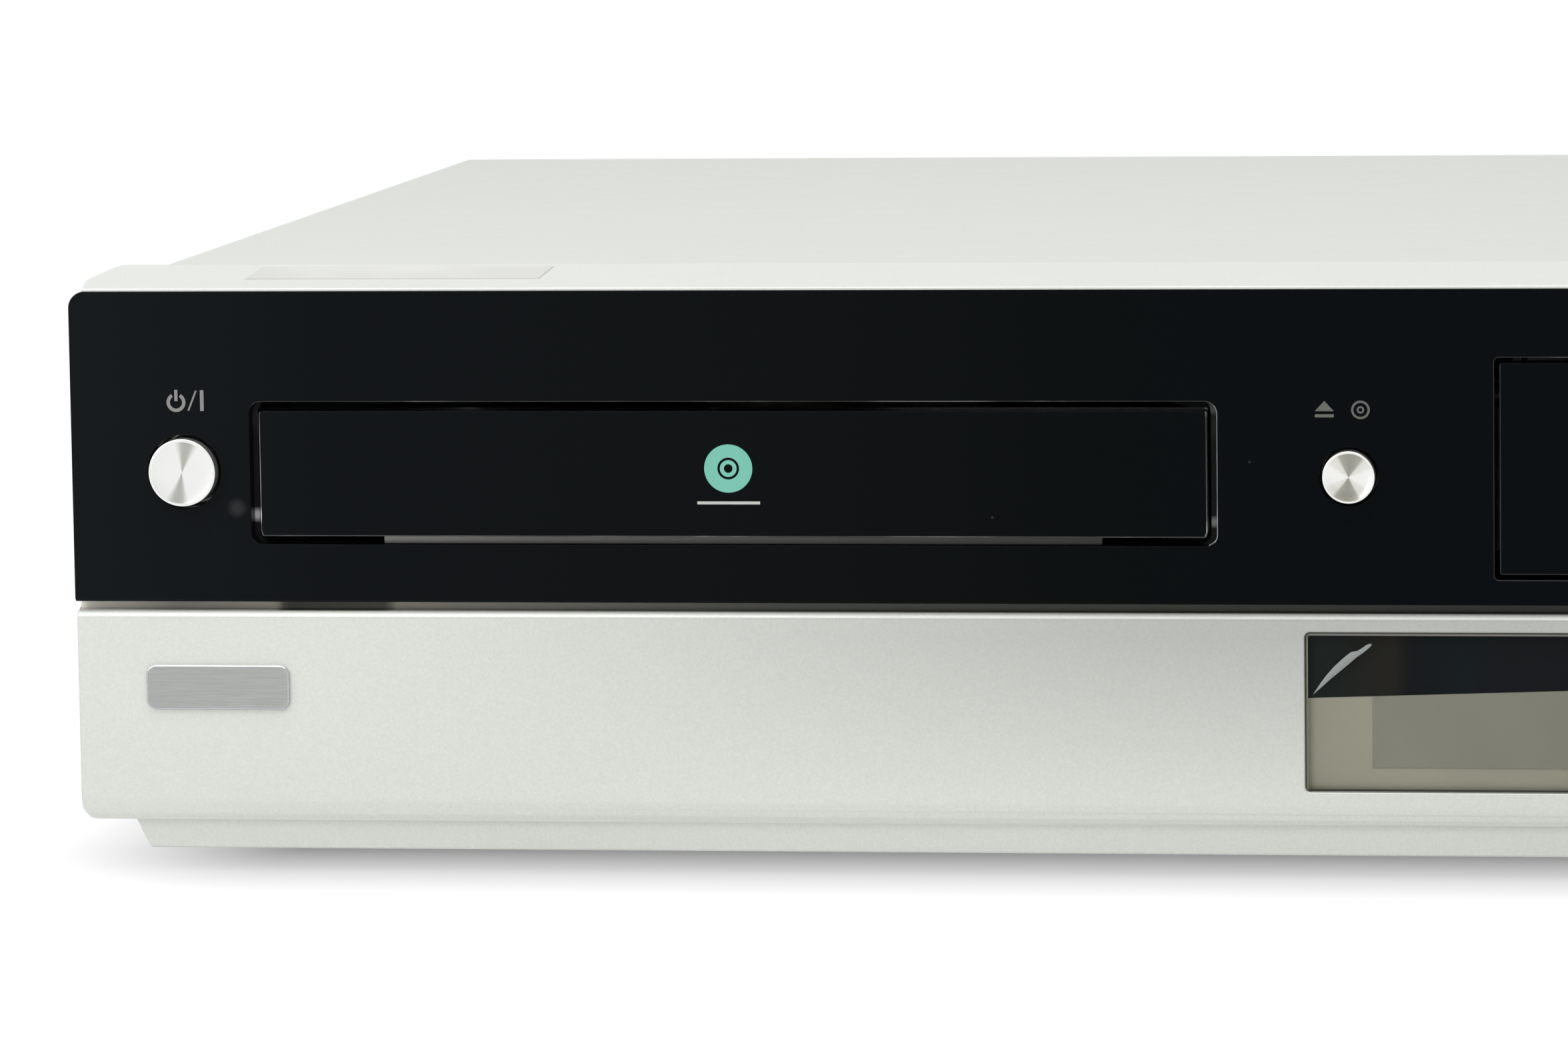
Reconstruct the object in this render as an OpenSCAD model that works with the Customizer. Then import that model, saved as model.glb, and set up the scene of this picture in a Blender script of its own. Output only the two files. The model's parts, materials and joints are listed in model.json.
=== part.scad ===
// Disc and tape combo player: a wide flat home deck with a disc tray on the left,
// a front-loading cassette bay on the right and a display window in the lower band.
// Millimetres. +X is right as seen from the front, the front faces -Y and z = 0 is
// the surface that the feet stand on. The origin is the bottom centre of the whole.

/* [Case] */
// Width of the front panel
body_w = 430; // [428:1:440]
// Depth from the front panel's face to the cover's rear edge
body_d = 262; // [260:1:300]
// Height of the cover's top above the floor
cover_top = 81.5; // [81:0.5:84]
// Width of the sheet-metal cover
cover_w = 419; // [418:1:420]
// Thickness of the sheet metal
sheet = 1.0; // [0.8:0.1:1.2]
// Height of the feet below the chassis pan
foot_h = 4; // [4:0.1:4.5]
// Depth of the moulded front frame behind the panel's face
frame_d = 23; // [22:1:24]

/* [Front panel] */
// Height of the lower silver band's lower edge
band_z0 = 7; // [6.8:0.1:7.2]
// Height of the lower silver band's upper edge
band_z1 = 36.6; // [36.4:0.1:36.8]
// Height of the black panel's lower edge
panel_z0 = 37.7; // [37.5:0.1:37.9]
// Height of the black panel's upper edge
panel_z1 = 80.2; // [80:0.1:80.3]
// Thickness of the black panel
panel_t = 2.5; // [2.3:0.1:2.6]

/* [Disc side] */
// Distance of the tray door's centre to the left of the middle
tray_off = 124.3; // [124:0.1:125]
// Width of the tray door
tray_door_w = 130.4; // [130:0.1:131]
// Height of the tray door
tray_door_h = 16.95; // [16.5:0.05:17]
// Height of the tray door's lower edge
tray_door_z = 46.8; // [46.7:0.05:46.9]
// How far the tray runs out
tray_travel = 135; // [100:1:138]
// Diameter of the disc recess
disc_d = 121; // [120.5:0.5:122]

/* [Tape side] */
// Left edge of the cassette door
tape_x0 = -19.6; // [-20:0.1:-19]
// Width of the cassette door
tape_door_w = 197; // [196:0.5:198]
// Height of the cassette door's lower edge
tape_door_z = 41.6; // [41.5:0.05:41.8]
// Height of the cassette door
tape_door_h = 28.6; // [28.4:0.1:28.8]
// How far the cassette basket travels inwards
carriage_travel = 50; // [40:1:52]
// How far the basket then sinks onto the reels
basket_drop = 22; // [15:1:22]
// Diameter of the head drum
drum_d = 62; // [60:1:62]

/* [Controls] */
// Diameter of the power button
power_d = 9.7; // [9:0.1:10]
// Diameter of the eject and tape buttons
key_d = 7.5; // [7:0.1:8]
// How far a button stands out of the panel
key_proud = 1.5; // [1.2:0.1:1.8]
// Distance of the eject and power buttons from the middle
key_side = 199.9; // [199:0.1:201]
// Width of the display window
window_w = 91.6; // [90:0.2:92]
// Height of the display window
window_h = 22.2; // [22:0.1:22.4]

/* [Hidden] */
$fn = 64;

// Reference planes
jack_proud = 6.5;                                    // jacks beyond the cover's rear edge
front_y = key_proud - (body_d + key_proud + jack_proud) / 2;
back_y = front_y + body_d;                           // cover's rear edge
wall_y = front_y + panel_t;                          // front face of the frame's own wall
wall_t = 2.5;
wall_in = wall_y + wall_t;                           // rear face of that wall
frame_back = front_y + frame_d;
rear_face = back_y - 1.5;                            // outer face of the rear panel
half_w = body_w / 2;
pan_z = foot_h;                                      // underside of the chassis pan
pan_top = pan_z + sheet;
strip_rise = 0.5;                                    // frame above the cover at its rear

// Front layout
tray_cx = -tray_off;
tray_cz = tray_door_z + tray_door_h / 2;
tray_open = [tray_door_w + 3, 19.6];
tray_open_cz = 55.2;
tape_cx = tape_x0 + tape_door_w / 2;
tape_cz = tape_door_z + tape_door_h / 2;
tape_gap = 0.7;
power_pos = [-key_side, 55.4];
disc_eject_pos = [-39.8, 54.9];
tape_eject_pos = [key_side, 54.9];
key_row_z = 22.5;
key_row_x = 92;
key_pitch = 15;
function row_key(i) = [key_row_x + i * key_pitch, key_row_z];
jack_row_x = 176;
jack_pitch = 13.5;
window_cz = 22.5;
key_clear = 0.25;
key_travel = 1.2;
key_back = wall_in + 5;
board_y = key_back + 4;
pcb_t = 1.6;

// Disc loader heights
loader_floor = 41.5;
tray_z0 = 48.5;
tray_z1 = 54.5;
disc_y = front_y + 72;
tray_w = 127;
tray_back = front_y + 163.5;
rack_x = tray_cx + 54;                               // pitch line of the rack
gear_m = 1;
gear_n = 20;
gear_pos = [rack_x - gear_m * gear_n / 2, front_y + 21.5];
pinion_n = 12;
pulley_dir = 180;
pulley_pos = gear_pos + gear_m * (gear_n + pinion_n) / 2 * [cos(pulley_dir), sin(pulley_dir)];
motor_pos = pulley_pos + [-34, 2];
rack_teeth_n = ceil(tray_travel / (PI * gear_m)) + 5;
rack_y0 = gear_pos[1] - 3.5 * PI * gear_m;              // a gap faces the wheel
gear_z = 45.8;
gear_t = 2.6;
pulley_z = 42;
pulley_r = 12;
motor_pulley_r = 3.2;
belt_w = 1.2;
slot_half = 21;
lens_r0 = 24;

// Tape deck
deck_z = 14;
deck_t = 1.5;
deck_top = deck_z + deck_t;
deck_x0 = tape_x0 - 4.4;
deck_x1 = tape_x0 + tape_door_w + 4.4;
deck_y0 = front_y + 35.5;
deck_y1 = back_y - 20.5;
reel_y = front_y + 105.5;
reel_dx = 46;
drum_pos = [tape_cx, front_y + 201.5];
drum_tilt = 6;
drum_z = deck_top + 5;
capstan_pos = [tape_cx + 55, front_y + 171.5];
pinch_pivot = capstan_pos + [18.1, 18];
pinch_len = 18;
pinch_rest = 200;
pinch_pos = pinch_pivot + pinch_len * [cos(pinch_rest), sin(pinch_rest)];
cam_n = 36;
cam_pos = [tape_cx + 82, front_y + 215];
loading_n = 10;
loading_pos = cam_pos + [-gear_m * (cam_n + loading_n) / 2, 0];
basket_floor = 41.2;
basket_in_h = 25.7;
basket_w = 188;
basket_y0 = front_y + 32.5;
basket_len = 81;
fit = 0.05;                                          // radial clearance of a running fit

// ---- shared shapes ----

// Flat rounded rectangle about the origin, with true arcs
module round_rect(w, h, r) {
    square([w - 2 * r, h], center = true);
    square([w, h - 2 * r], center = true);
    for (sx = [-1, 1], sy = [-1, 1])
        translate([sx * (w / 2 - r), sy * (h / 2 - r)]) circle(r);
}

// Block with rounded corners seen from the front, from y0 to y1 about (cx, cz)
module front_block(cx, cz, w, h, r, y0, y1) {
    translate([cx, y1, cz]) rotate([90, 0, 0]) linear_extrude(y1 - y0) round_rect(w, h, r);
}

// Block between two corners
module block(a, b) {
    translate(a) cube(b - a);
}

// Rod along Y from y0 to y1, at [x, z]
module rod_y(p, r, y0, y1) {
    translate([p[0], y1, p[1]]) rotate([90, 0, 0]) cylinder(r = r, h = y1 - y0);
}

// Rod along Z from z0 to z1, at [x, y]
module rod_z(p, r, z0, z1) {
    translate([p[0], p[1], z0]) cylinder(r = r, h = z1 - z0);
}

// Rod along X from x0 to x1, at [y, z]
module rod_x(p, r, x0, x1) {
    translate([x0, p[0], p[1]]) rotate([0, 90, 0]) cylinder(r = r, h = x1 - x0);
}

// Spur gear outline: involute flanks of module m and n teeth, with side play
function involute(rb, t) = rb * [cos(t) + t * PI / 180 * sin(t), sin(t) - t * PI / 180 * cos(t)];
function roll(rb, r) = sqrt(pow(r / rb, 2) - 1) * 180 / PI;
function turn(p, a) = [p[0] * cos(a) - p[1] * sin(a), p[0] * sin(a) + p[1] * cos(a)];
module gear_outline(m, n, play = 0.12) {
    rp = m * n / 2;
    rb = rp * cos(20);
    ra = rp + 0.85 * m;
    rr = rp - 1.15 * m;
    lean = roll(rb, rp) - 20;
    half = 90 / n - play / rp * 90 / PI;
    flank = [for (i = [0:4]) involute(rb, roll(rb, rb + (ra - rb) * i / 4))];
    up = [for (p = flank) turn(p, -half - lean)];
    down = [for (i = [4:-1:0]) [up[i][0], -up[i][1]]];
    circle(rr);
    for (k = [0:n - 1]) rotate(k * 360 / n)
        polygon(concat([[rr - 0.5, up[0][1]]], up, down, [[rr - 0.5, down[4][1]]]));
}

// Rack tooth row along +Y from the origin, teeth towards -X, pitch line on x = 0
module rack_teeth(m, count, play = 0.12) {
    pitch = PI * m;
    slope = tan(20);
    root = pitch / 4 - play + 1.15 * m * slope;
    tip = pitch / 4 - play - 0.85 * m * slope;
    for (k = [0:count - 1]) translate([0, k * pitch])
        polygon([[1.15 * m + 0.2, -root], [1.15 * m, -root], [-0.85 * m, -tip],
            [-0.85 * m, tip], [1.15 * m, root], [1.15 * m + 0.2, root]]);
}

// ---- case ----

vent_n = 16;
module top_cover() {
    bend = 2;
    side_z = pan_top + 1;
    color("gainsboro") difference() {
        translate([0, back_y, 0]) rotate([90, 0, 0])
            linear_extrude(back_y - frame_back - 0.2) difference() {
                cover_section(0, bend, side_z);
                cover_section(sheet, bend - sheet, side_z - 5);
            }
        for (side = [-1, 1], k = [0:vent_n - 1])
            translate([side * cover_w / 2, frame_back + 110 + k * 6, 24])
                cube([8, 2.4, 20], center = true);
        for (side = [-1, 1], y = cover_screw_y)
            rod_x([y, cover_screw_z], 2, side * cover_w / 2 - 3, side * cover_w / 2 + 3);
    }
    // rear flange folded down over the rear panel
    color("gainsboro") difference() {
        block([-cover_w / 2 + 3, rear_face + 0.5, cover_top - 10],
            [cover_w / 2 - 3, back_y, cover_top - sheet / 2]);
        for (x = flange_screw_x) rod_y([x, flange_screw_z], 2, rear_face, back_y + 1);
    }
    // tongues that hook under the front frame
    for (x = [-150, 0, 150]) color("gainsboro") {
        block([x - 10, frame_back + 0.2, cover_top - 4], [x + 10, frame_back + 1.2, cover_top - 0.5]);
        block([x - 10, frame_back - 6, cover_top - 4], [x + 10, frame_back + 1.2, cover_top - 3.2]);
    }
}
cover_screw_y = [frame_back + 30, back_y - 30];
cover_screw_z = 14;
flange_screw_x = [-180, 0, 180];
flange_screw_z = cover_top - 5;

// Half-round topped cover outline, shrunk by t all round
module cover_section(t, r, z0) {
    w = cover_w - 2 * t;
    top = cover_top - t;
    translate([-w / 2, z0]) square([w, top - r - z0]);
    translate([-w / 2 + r, z0]) square([w - 2 * r, top - z0]);
    for (s = [-1, 1]) translate([s * (w / 2 - r), top - r]) circle(r);
}

pan_w = cover_w - 4;
module bottom_pan() {
    y0 = front_y + 4.2;
    color("silver") {
        difference() {
            union() {
                block([-pan_w / 2, frame_back, pan_z], [pan_w / 2, rear_in, pan_top]);
                block([-pan_w / 2 + 5, y0, pan_z], [pan_w / 2 - 5, frame_back + 1, pan_top]);
            }
            for (x = foot_x, y = foot_y) rod_z([x, y], 2, pan_z - 1, pan_top + 1);
            for (k = [0:11]) translate([-110 + k * 9, back_y - 62, pan_z + sheet / 2])
                cube([4, 40, 3], center = true);
            for (k = [0:9]) translate([tape_cx - 60 + k * 12, back_y - 16, pan_z + sheet / 2])
                cube([6, 10, 3], center = true);
        }
        for (s = [-1, 1]) difference() {
            block([s > 0 ? pan_w / 2 - sheet : -pan_w / 2, frame_back + 1, pan_top],
                [s > 0 ? pan_w / 2 : -pan_w / 2 + sheet, rear_in, pan_top + 14]);
            for (y = cover_screw_y) rod_x([y, cover_screw_z], 1.5, s * pan_w / 2 - 3, s * pan_w / 2 + 3);
        }
    }
}
foot_x = [-170, 170];
foot_y = [front_y + 38, back_y - 32];

module feet() {
    for (x = foot_x, y = foot_y) color("dimgray") difference() {
        union() {
            rod_z([x, y], 10, 0, 1.2);
            translate([x, y, 1.2]) cylinder(r1 = 10.8, r2 = 11.5, h = pan_z - 1.2);
        }
        rod_z([x, y], 3.4, -1, 1.6);
        rod_z([x, y], 1.9, 1, pan_z + 1);
    }
}

module base_skirt() {
    top_w = body_w - 15;
    low_w = top_w - 4;
    z0 = 3;
    color("lightgray") difference() {
        intersection() {
            block([-top_w, front_y + 1.6, z0], [top_w, frame_back - 0.5, band_z0]);
            translate([0, frame_back, 0]) rotate([90, 0, 0]) linear_extrude(frame_d)
                polygon([[-top_w / 2, band_z0], [top_w / 2, band_z0], [low_w / 2, z0], [-low_w / 2, z0]]);
        }
        block([-low_w / 2 + 2, front_y + 4.2, z0 - 1], [low_w / 2 - 2, frame_back + 1, band_z0 + 1]);
    }
}

// Round holes that all the front buttons pass through
module button_holes(gap, y0, y1) {
    rod_y(power_pos, power_d / 2 + gap, y0, y1);
    for (p = concat([disc_eject_pos, tape_eject_pos], [for (i = [0:4]) row_key(i)]))
        rod_y(p, key_d / 2 + gap, y0, y1);
}

module front_openings(grow, r, y0, y1) {
    front_block(tray_cx, tray_open_cz, tray_open[0] + grow, tray_open[1] + grow, r, y0, y1);
    front_block(tape_cx, tape_cz, tape_door_w + 2 * tape_gap + grow,
        tape_door_h + 2 * tape_gap + grow, 0.6, y0, y1);
}

module front_bezel() {
    corner = 2.3;
    edge_w = body_w - 0.4;
    lip_y = front_y + 0.2;
    top_back = cover_top + strip_rise;
    skin = 2.2;
    color("whitesmoke") difference() {
        intersection() {
            rotate([90, 0, 90]) translate([0, 0, -half_w]) linear_extrude(body_w) polygon([
                [front_y + 2.6, band_z0], [front_y + 0.8, band_z0 + 0.9], [front_y, band_z0 + 3.2],
                [front_y, band_z1 - 0.75], [front_y + 0.75, band_z1], [wall_y, band_z1],
                [wall_y, panel_z1], [lip_y, panel_z1], [lip_y, panel_z1 + 0.4],
                [frame_back, top_back], [frame_back, band_z0]]);
            translate([0, frame_back + 1, (band_z0 + top_back) / 2]) rotate([90, 0, 0])
                linear_extrude(frame_d + 2) round_rect(edge_w, top_back - band_z0, corner);
        }
        // hollow behind the wall, under the sloped top
        rotate([90, 0, 90]) translate([0, 0, -edge_w / 2 + 2.5]) linear_extrude(edge_w - 5) polygon([
            [wall_y, band_z0 + 2.4], [wall_y, band_z1 - 2.5], [wall_in, band_z1 - 0.5],
            [wall_in, panel_z1 - skin], [frame_back + 1, top_back - skin - 0.4],
            [frame_back + 1, band_z0 + 2.4]]);
        front_openings(0, 1.6, front_y - 1, wall_in + 1);
        button_holes(key_clear, front_y - 1, wall_in + 1);
        front_block(0, window_cz, window_w - 3, window_h - 3, 0.6, front_y - 1, wall_in + 1);
        front_block(0, window_cz, window_w + 0.2, window_h + 0.2, 0.7, front_y - 1, front_y + 1.7);
        for (i = [0:2]) rod_y([jack_row_x + i * jack_pitch, key_row_z], 5.2, front_y - 1, wall_in + 1);
        // bearings of the cassette door, bored in the sides of its opening
        rod_x(door_hinge, door_pin_r + fit, tape_x0 - 3.4, tape_x0 + tape_door_w + 3.4);
    }
    // guide tubes behind the wall for the buttons of the black panel and of the band
    for (p = concat([disc_eject_pos, tape_eject_pos], [for (i = [0:4]) row_key(i)]))
        button_tube(p, key_d, p[1] > panel_z0 ? wall_in : wall_y);
    button_tube(power_pos, power_d, wall_in);
}

module button_tube(p, d, y0) {
    color("whitesmoke") difference() {
        rod_y(p, d / 2 + 2, y0 - 0.2, y0 + 2);
        rod_y(p, d / 2 + key_clear, y0 - 1, y0 + 3);
    }
}

module black_fascia() {
    color("black") difference() {
        intersection() {
            rotate([90, 0, 90]) translate([0, 0, -half_w]) linear_extrude(body_w) polygon([
                [wall_y, panel_z0 + 0.1], [front_y + 0.4, panel_z0 + 0.1], [front_y, panel_z0 + 0.5],
                [front_y, panel_z1 - 0.15], [front_y + 0.15, panel_z1], [wall_y, panel_z1]]);
            front_block(0, (panel_z1 + panel_z0 - 10) / 2, body_w, panel_z1 - panel_z0 + 10, 2.3,
                front_y - 1, wall_y + 1);
        }
        front_openings(0, 1.6, front_y - 1, wall_y + 1);
        button_holes(key_clear, front_y - 1, wall_y + 1);
    }
}

// Push button: domed-edge cap, stem and a retaining flange behind the wall
module push_button(p, d, wall_back) {
    color("silver") {
        rod_y(p, d / 2, front_y - key_proud + 0.4, wall_back + 2.4);
        translate([p[0], front_y - key_proud, p[1]]) rotate([-90, 0, 0])
            cylinder(r1 = d / 2 - 0.4, r2 = d / 2, h = 0.4);
        rod_y(p, d / 2 + 1.2, wall_back + 2.3, wall_back + 3.3);
        rod_y(p, 1.6, wall_back + 3.2, key_back + 0.6);
    }
}
module power_button() { push_button(power_pos, power_d, wall_in); }
module disc_eject_button() { push_button(disc_eject_pos, key_d, wall_in); }
module tape_eject_button() { push_button(tape_eject_pos, key_d, wall_in); }
module rewind_button() { push_button(row_key(0), key_d, wall_y); }
module play_button() { push_button(row_key(1), key_d, wall_y); }
module forward_button() { push_button(row_key(2), key_d, wall_y); }
module stop_button() { push_button(row_key(3), key_d, wall_y); }
module record_button() { push_button(row_key(4), key_d, wall_y); }

module display_window() {
    color([0.12, 0.13, 0.14, 0.7])
        front_block(0, window_cz, window_w, window_h, 0.6, front_y + 0.3, front_y + 1.7);
}

module display_module() {
    color("dimgray") {
        block([-40, wall_in + 1, 13.5], [40, wall_in + 6, 32]);
        for (x = [-36, 36]) block([x - 2, wall_in + 6, 15], [x + 2, board_y, 30]);
    }
}

module control_board() {
    color("darkgreen") {
        block([-60, board_y, 10.5], [jack_row_x - 8, board_y + pcb_t, 35]);
        for (p = [power_pos, disc_eject_pos, tape_eject_pos])
            block([p[0] - 6, board_y, p[1] - 7], [p[0] + 6, board_y + pcb_t, p[1] + 7]);
    }
    // touch switches, one behind each button
    for (p = concat([power_pos, disc_eject_pos, tape_eject_pos], [for (i = [0:4]) row_key(i)]))
        color("silver") {
            block([p[0] - 3, board_y - 1.6, p[1] - 3], [p[0] + 3, board_y, p[1] + 3]);
            rod_y(p, 1.7, key_back + 0.6 + key_travel + 0.1, board_y - 1.5);
        }
}

// Phono socket along Y: barrel with a pin hole, washer and square body behind the wall
module phono(x, z, y_tip, y_wall, depth, dir) {
    a = min(y_tip, y_wall);
    b = max(y_tip, y_wall);
    difference() {
        union() {
            rod_y([x, z], 4.15, a, b + 0.1);
            block([x - 5.5, dir > 0 ? y_wall - depth : y_wall, z - 5.5],
                [x + 5.5, dir > 0 ? y_wall : y_wall + depth, z + 5.5]);
        }
        rod_y([x, z], 1.7, dir > 0 ? y_tip - 7 : y_tip - 1, dir > 0 ? y_tip + 1 : y_tip + 7);
    }
}

module front_jacks() {
    for (i = [0:2]) color(["gold", "white", "red"][i])
        phono(jack_row_x + i * jack_pitch, key_row_z, front_y + 0.2, wall_y + 0.1, 9, -1);
}

// ---- rear panel and sockets ----

rear_in = rear_face - sheet;
av_x0 = 10;
av_pitch = 14;
av_z = [30, 50];
antenna_x = 130;
svideo_x = -12;
hdmi_pos = [-42, 50];
optical_pos = [-42, 30];
inlet_pos = [-165, 32];
socket_tip = back_y + jack_proud;

module rear_panel() {
    color("silver") difference() {
        block([-pan_w / 2, rear_in, pan_z], [pan_w / 2, rear_face, cover_top - sheet - 0.2]);
        for (i = [0:5], z = av_z) rod_y([av_x0 + i * av_pitch, z], 4.8, rear_in - 1, rear_face + 1);
        for (z = av_z) rod_y([antenna_x, z], 5.6, rear_in - 1, rear_face + 1);
        rod_y([svideo_x, av_z[0]], 5.6, rear_in - 1, rear_face + 1);
        front_block(hdmi_pos[0], hdmi_pos[1], 16, 6.6, 0.5, rear_in - 1, rear_face + 1);
        front_block(optical_pos[0], optical_pos[1], 10.4, 10.4, 0.5, rear_in - 1, rear_face + 1);
        front_block(inlet_pos[0], inlet_pos[1], 22, 13, 1, rear_in - 1, rear_face + 1);
        for (x = flange_screw_x) rod_y([x, flange_screw_z], 1.5, rear_in - 1, rear_face + 1);
        for (k = [0:13]) translate([-130 + k * 6, rear_face, 62]) cube([2.4, 6, 14], center = true);
    }
}

module rear_jacks() {
    for (i = [0:5], z = av_z) color(["gold", "white", "red", "green", "blue", "red"][i])
        phono(av_x0 + i * av_pitch, z, socket_tip, rear_in, 11, 1);
    // aerial in and out
    for (z = av_z) color("silver") difference() {
        union() {
            rod_y([antenna_x, z], 4.8, rear_in - 1, socket_tip);
            block([antenna_x - 8, rear_in - 12, z - 8], [antenna_x + 8, rear_in, z + 8]);
        }
        rod_y([antenna_x, z], 3.9, socket_tip - 6, socket_tip + 1);
    }
    // round video socket
    color("dimgray") difference() {
        union() {
            rod_y([svideo_x, av_z[0]], 5.2, rear_in - 1, back_y);
            block([svideo_x - 6.5, rear_in - 11, av_z[0] - 6.5], [svideo_x + 6.5, rear_in, av_z[0] + 6.5]);
        }
        rod_y([svideo_x, av_z[0]], 4.3, back_y - 5, back_y + 1);
    }
    // digital video socket, with its tongue
    color("silver") difference() {
        front_block(hdmi_pos[0], hdmi_pos[1], 15.2, 5.8, 0.4, rear_in - 9, rear_face + 0.6);
        front_block(hdmi_pos[0], hdmi_pos[1], 14.2, 4.8, 0.3, rear_in - 6, rear_face + 1);
    }
    color("black") front_block(hdmi_pos[0], hdmi_pos[1] + 0.6, 11, 1.2, 0.2, rear_in - 6.1, rear_face);
    // optical sound socket
    color("black") difference() {
        front_block(optical_pos[0], optical_pos[1], 9.8, 9.8, 0.4, rear_in - 10, rear_face + 0.8);
        front_block(optical_pos[0], optical_pos[1], 7.4, 7.4, 0.4, rear_in - 5, rear_face + 2);
    }
}

// Two-pole mains inlet: a figure-of-eight well with two pins
module power_inlet() {
    color("black") difference() {
        front_block(inlet_pos[0], inlet_pos[1], 21.4, 12.4, 0.8, rear_in - 14, rear_face + 1.2);
        for (s = [-1, 1]) rod_y([inlet_pos[0] + s * 4.2, inlet_pos[1]], 4.2, rear_in - 9, rear_face + 2);
        front_block(inlet_pos[0], inlet_pos[1], 8.4, 7.4, 0.4, rear_in - 9, rear_face + 2);
    }
    for (s = [-1, 1]) color("silver")
        rod_y([inlet_pos[0] + s * 4.3, inlet_pos[1]], 1.2, rear_in - 9.1, rear_face - 1);
}

// Case screws: two on each side of the cover and three through the rear flange
module case_screws() {
    for (s = [-1, 1], y = cover_screw_y) color("silver") difference() {
        union() {
            rod_x([y, cover_screw_z], 1.4, s > 0 ? pan_w / 2 - 4 : -cover_w / 2 - 0.1,
                s > 0 ? cover_w / 2 + 0.1 : -pan_w / 2 + 4);
            rod_x([y, cover_screw_z], 3.4, s > 0 ? cover_w / 2 : -cover_w / 2 - 2,
                s > 0 ? cover_w / 2 + 2 : -cover_w / 2);
        }
        cross_slot([s * (cover_w / 2 + 2), y, cover_screw_z], [0, 90, 0]);
    }
    for (x = flange_screw_x) color("silver") difference() {
        union() {
            rod_y([x, flange_screw_z], 1.4, rear_in - 4, back_y + 0.1);
            rod_y([x, flange_screw_z], 3.4, back_y, back_y + 2);
        }
        cross_slot([x, back_y + 2, flange_screw_z], [90, 0, 0]);
    }
}

module cross_slot(p, turn_by) {
    translate(p) rotate(turn_by) for (a = [0, 90]) rotate(a) cube([3.2, 0.7, 2.4], center = true);
}

module badge_plate() {
    color("silver") front_block(-195.2, 25.6, 20, 6.2, 1.4, front_y - 0.5, front_y);
}

// ---- boards ----

board_z = pan_top + 5;
module standoff(x, y) { rod_z([x, y], 2.5, pan_top, board_z); }

main_x = [-178, -60];
main_y = [front_y + 34, front_y + 165];
module main_board() {
    color("darkgreen") block([main_x[0], main_y[0], board_z], [main_x[1], main_y[1], board_z + pcb_t]);
    for (x = [main_x[0] + 5, main_x[1] - 5], y = [main_y[0] + 5, main_y[1] - 5])
        color("gold") standoff(x, y);
}

// Chips and capacitors of the main board
module board_parts() {
    z = board_z + pcb_t;
    color("black") {
        block([-140, front_y + 95, z], [-112, front_y + 123, z + 2.4]);
        block([-100, front_y + 100, z], [-86, front_y + 122, z + 1.4]);
        block([-165, front_y + 60, z], [-150, front_y + 70, z + 2]);
    }
    for (k = [0:4]) color("slateblue") rod_z([-160 + k * 11, front_y + 150], 4, z, z + 9);
    for (k = [0:3]) color("slateblue") rod_z([-95 + k * 8, front_y + 48], 2.6, z, z + 6);
}

power_x = [-200, -60];
power_y = [front_y + 180, rear_in - 2];
module power_board() {
    color("peru") block([power_x[0], power_y[0], board_z], [power_x[1], power_y[1], board_z + pcb_t]);
    for (x = [power_x[0] + 5, power_x[1] - 5], y = [power_y[0] + 5, power_y[1] - 5])
        color("gold") standoff(x, y);
}

// Transformer, smoothing capacitor, heat sink, fuse and output capacitors
module power_parts() {
    z = board_z + pcb_t;
    y = front_y + 205;
    color("goldenrod") {
        block([-130, y - 6, z + 3], [-102, y + 22, z + 23]);
        block([-134, y + 2, z], [-98, y + 14, z + 27]);
    }
    color("black") rod_z([-158, y - 4], 9, z, z + 30);
    color("silver") {
        block([-178, y + 24, z], [-138, y + 26, z + 28]);
        for (k = [0:4]) block([-176 + k * 8, y + 25, z], [-174.6 + k * 8, y + 34, z + 28]);
    }
    color("whitesmoke") rod_x([y - 14, z + 3.2], 2.6, -196, -176);
    for (k = [0:3]) color("navy") rod_z([-84 + (k % 2) * 12, y + floor(k / 2) * 12], 4, z, z + 13);
}

// Flat flexible cable from the control board back and down to the main board
module flat_cable() {
    x0 = -84;
    x1 = -66.5;
    color("ivory") rotate([90, 0, 90]) translate([0, 0, x0]) linear_extrude(x1 - x0) polygon([
        [board_y + pcb_t, 28], [board_y + pcb_t + 14, 28], [main_y[0] + 4, board_z + pcb_t + 6],
        [main_y[0] + 4, board_z + pcb_t], [main_y[0] + 4.4, board_z + pcb_t],
        [main_y[0] + 4.4, board_z + pcb_t + 6.2], [board_y + pcb_t + 14.2, 28.4],
        [board_y + pcb_t, 28.4]]);
    color("white") {
        block([x0 - 1, board_y + pcb_t, 25], [x1 + 1, board_y + pcb_t + 4, 28]);
        block([x0 - 1, main_y[0] + 4.4, board_z + pcb_t], [x1 + 1, main_y[0] + 8.4, board_z + pcb_t + 4]);
    }
}

// ---- disc loader ----

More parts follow.
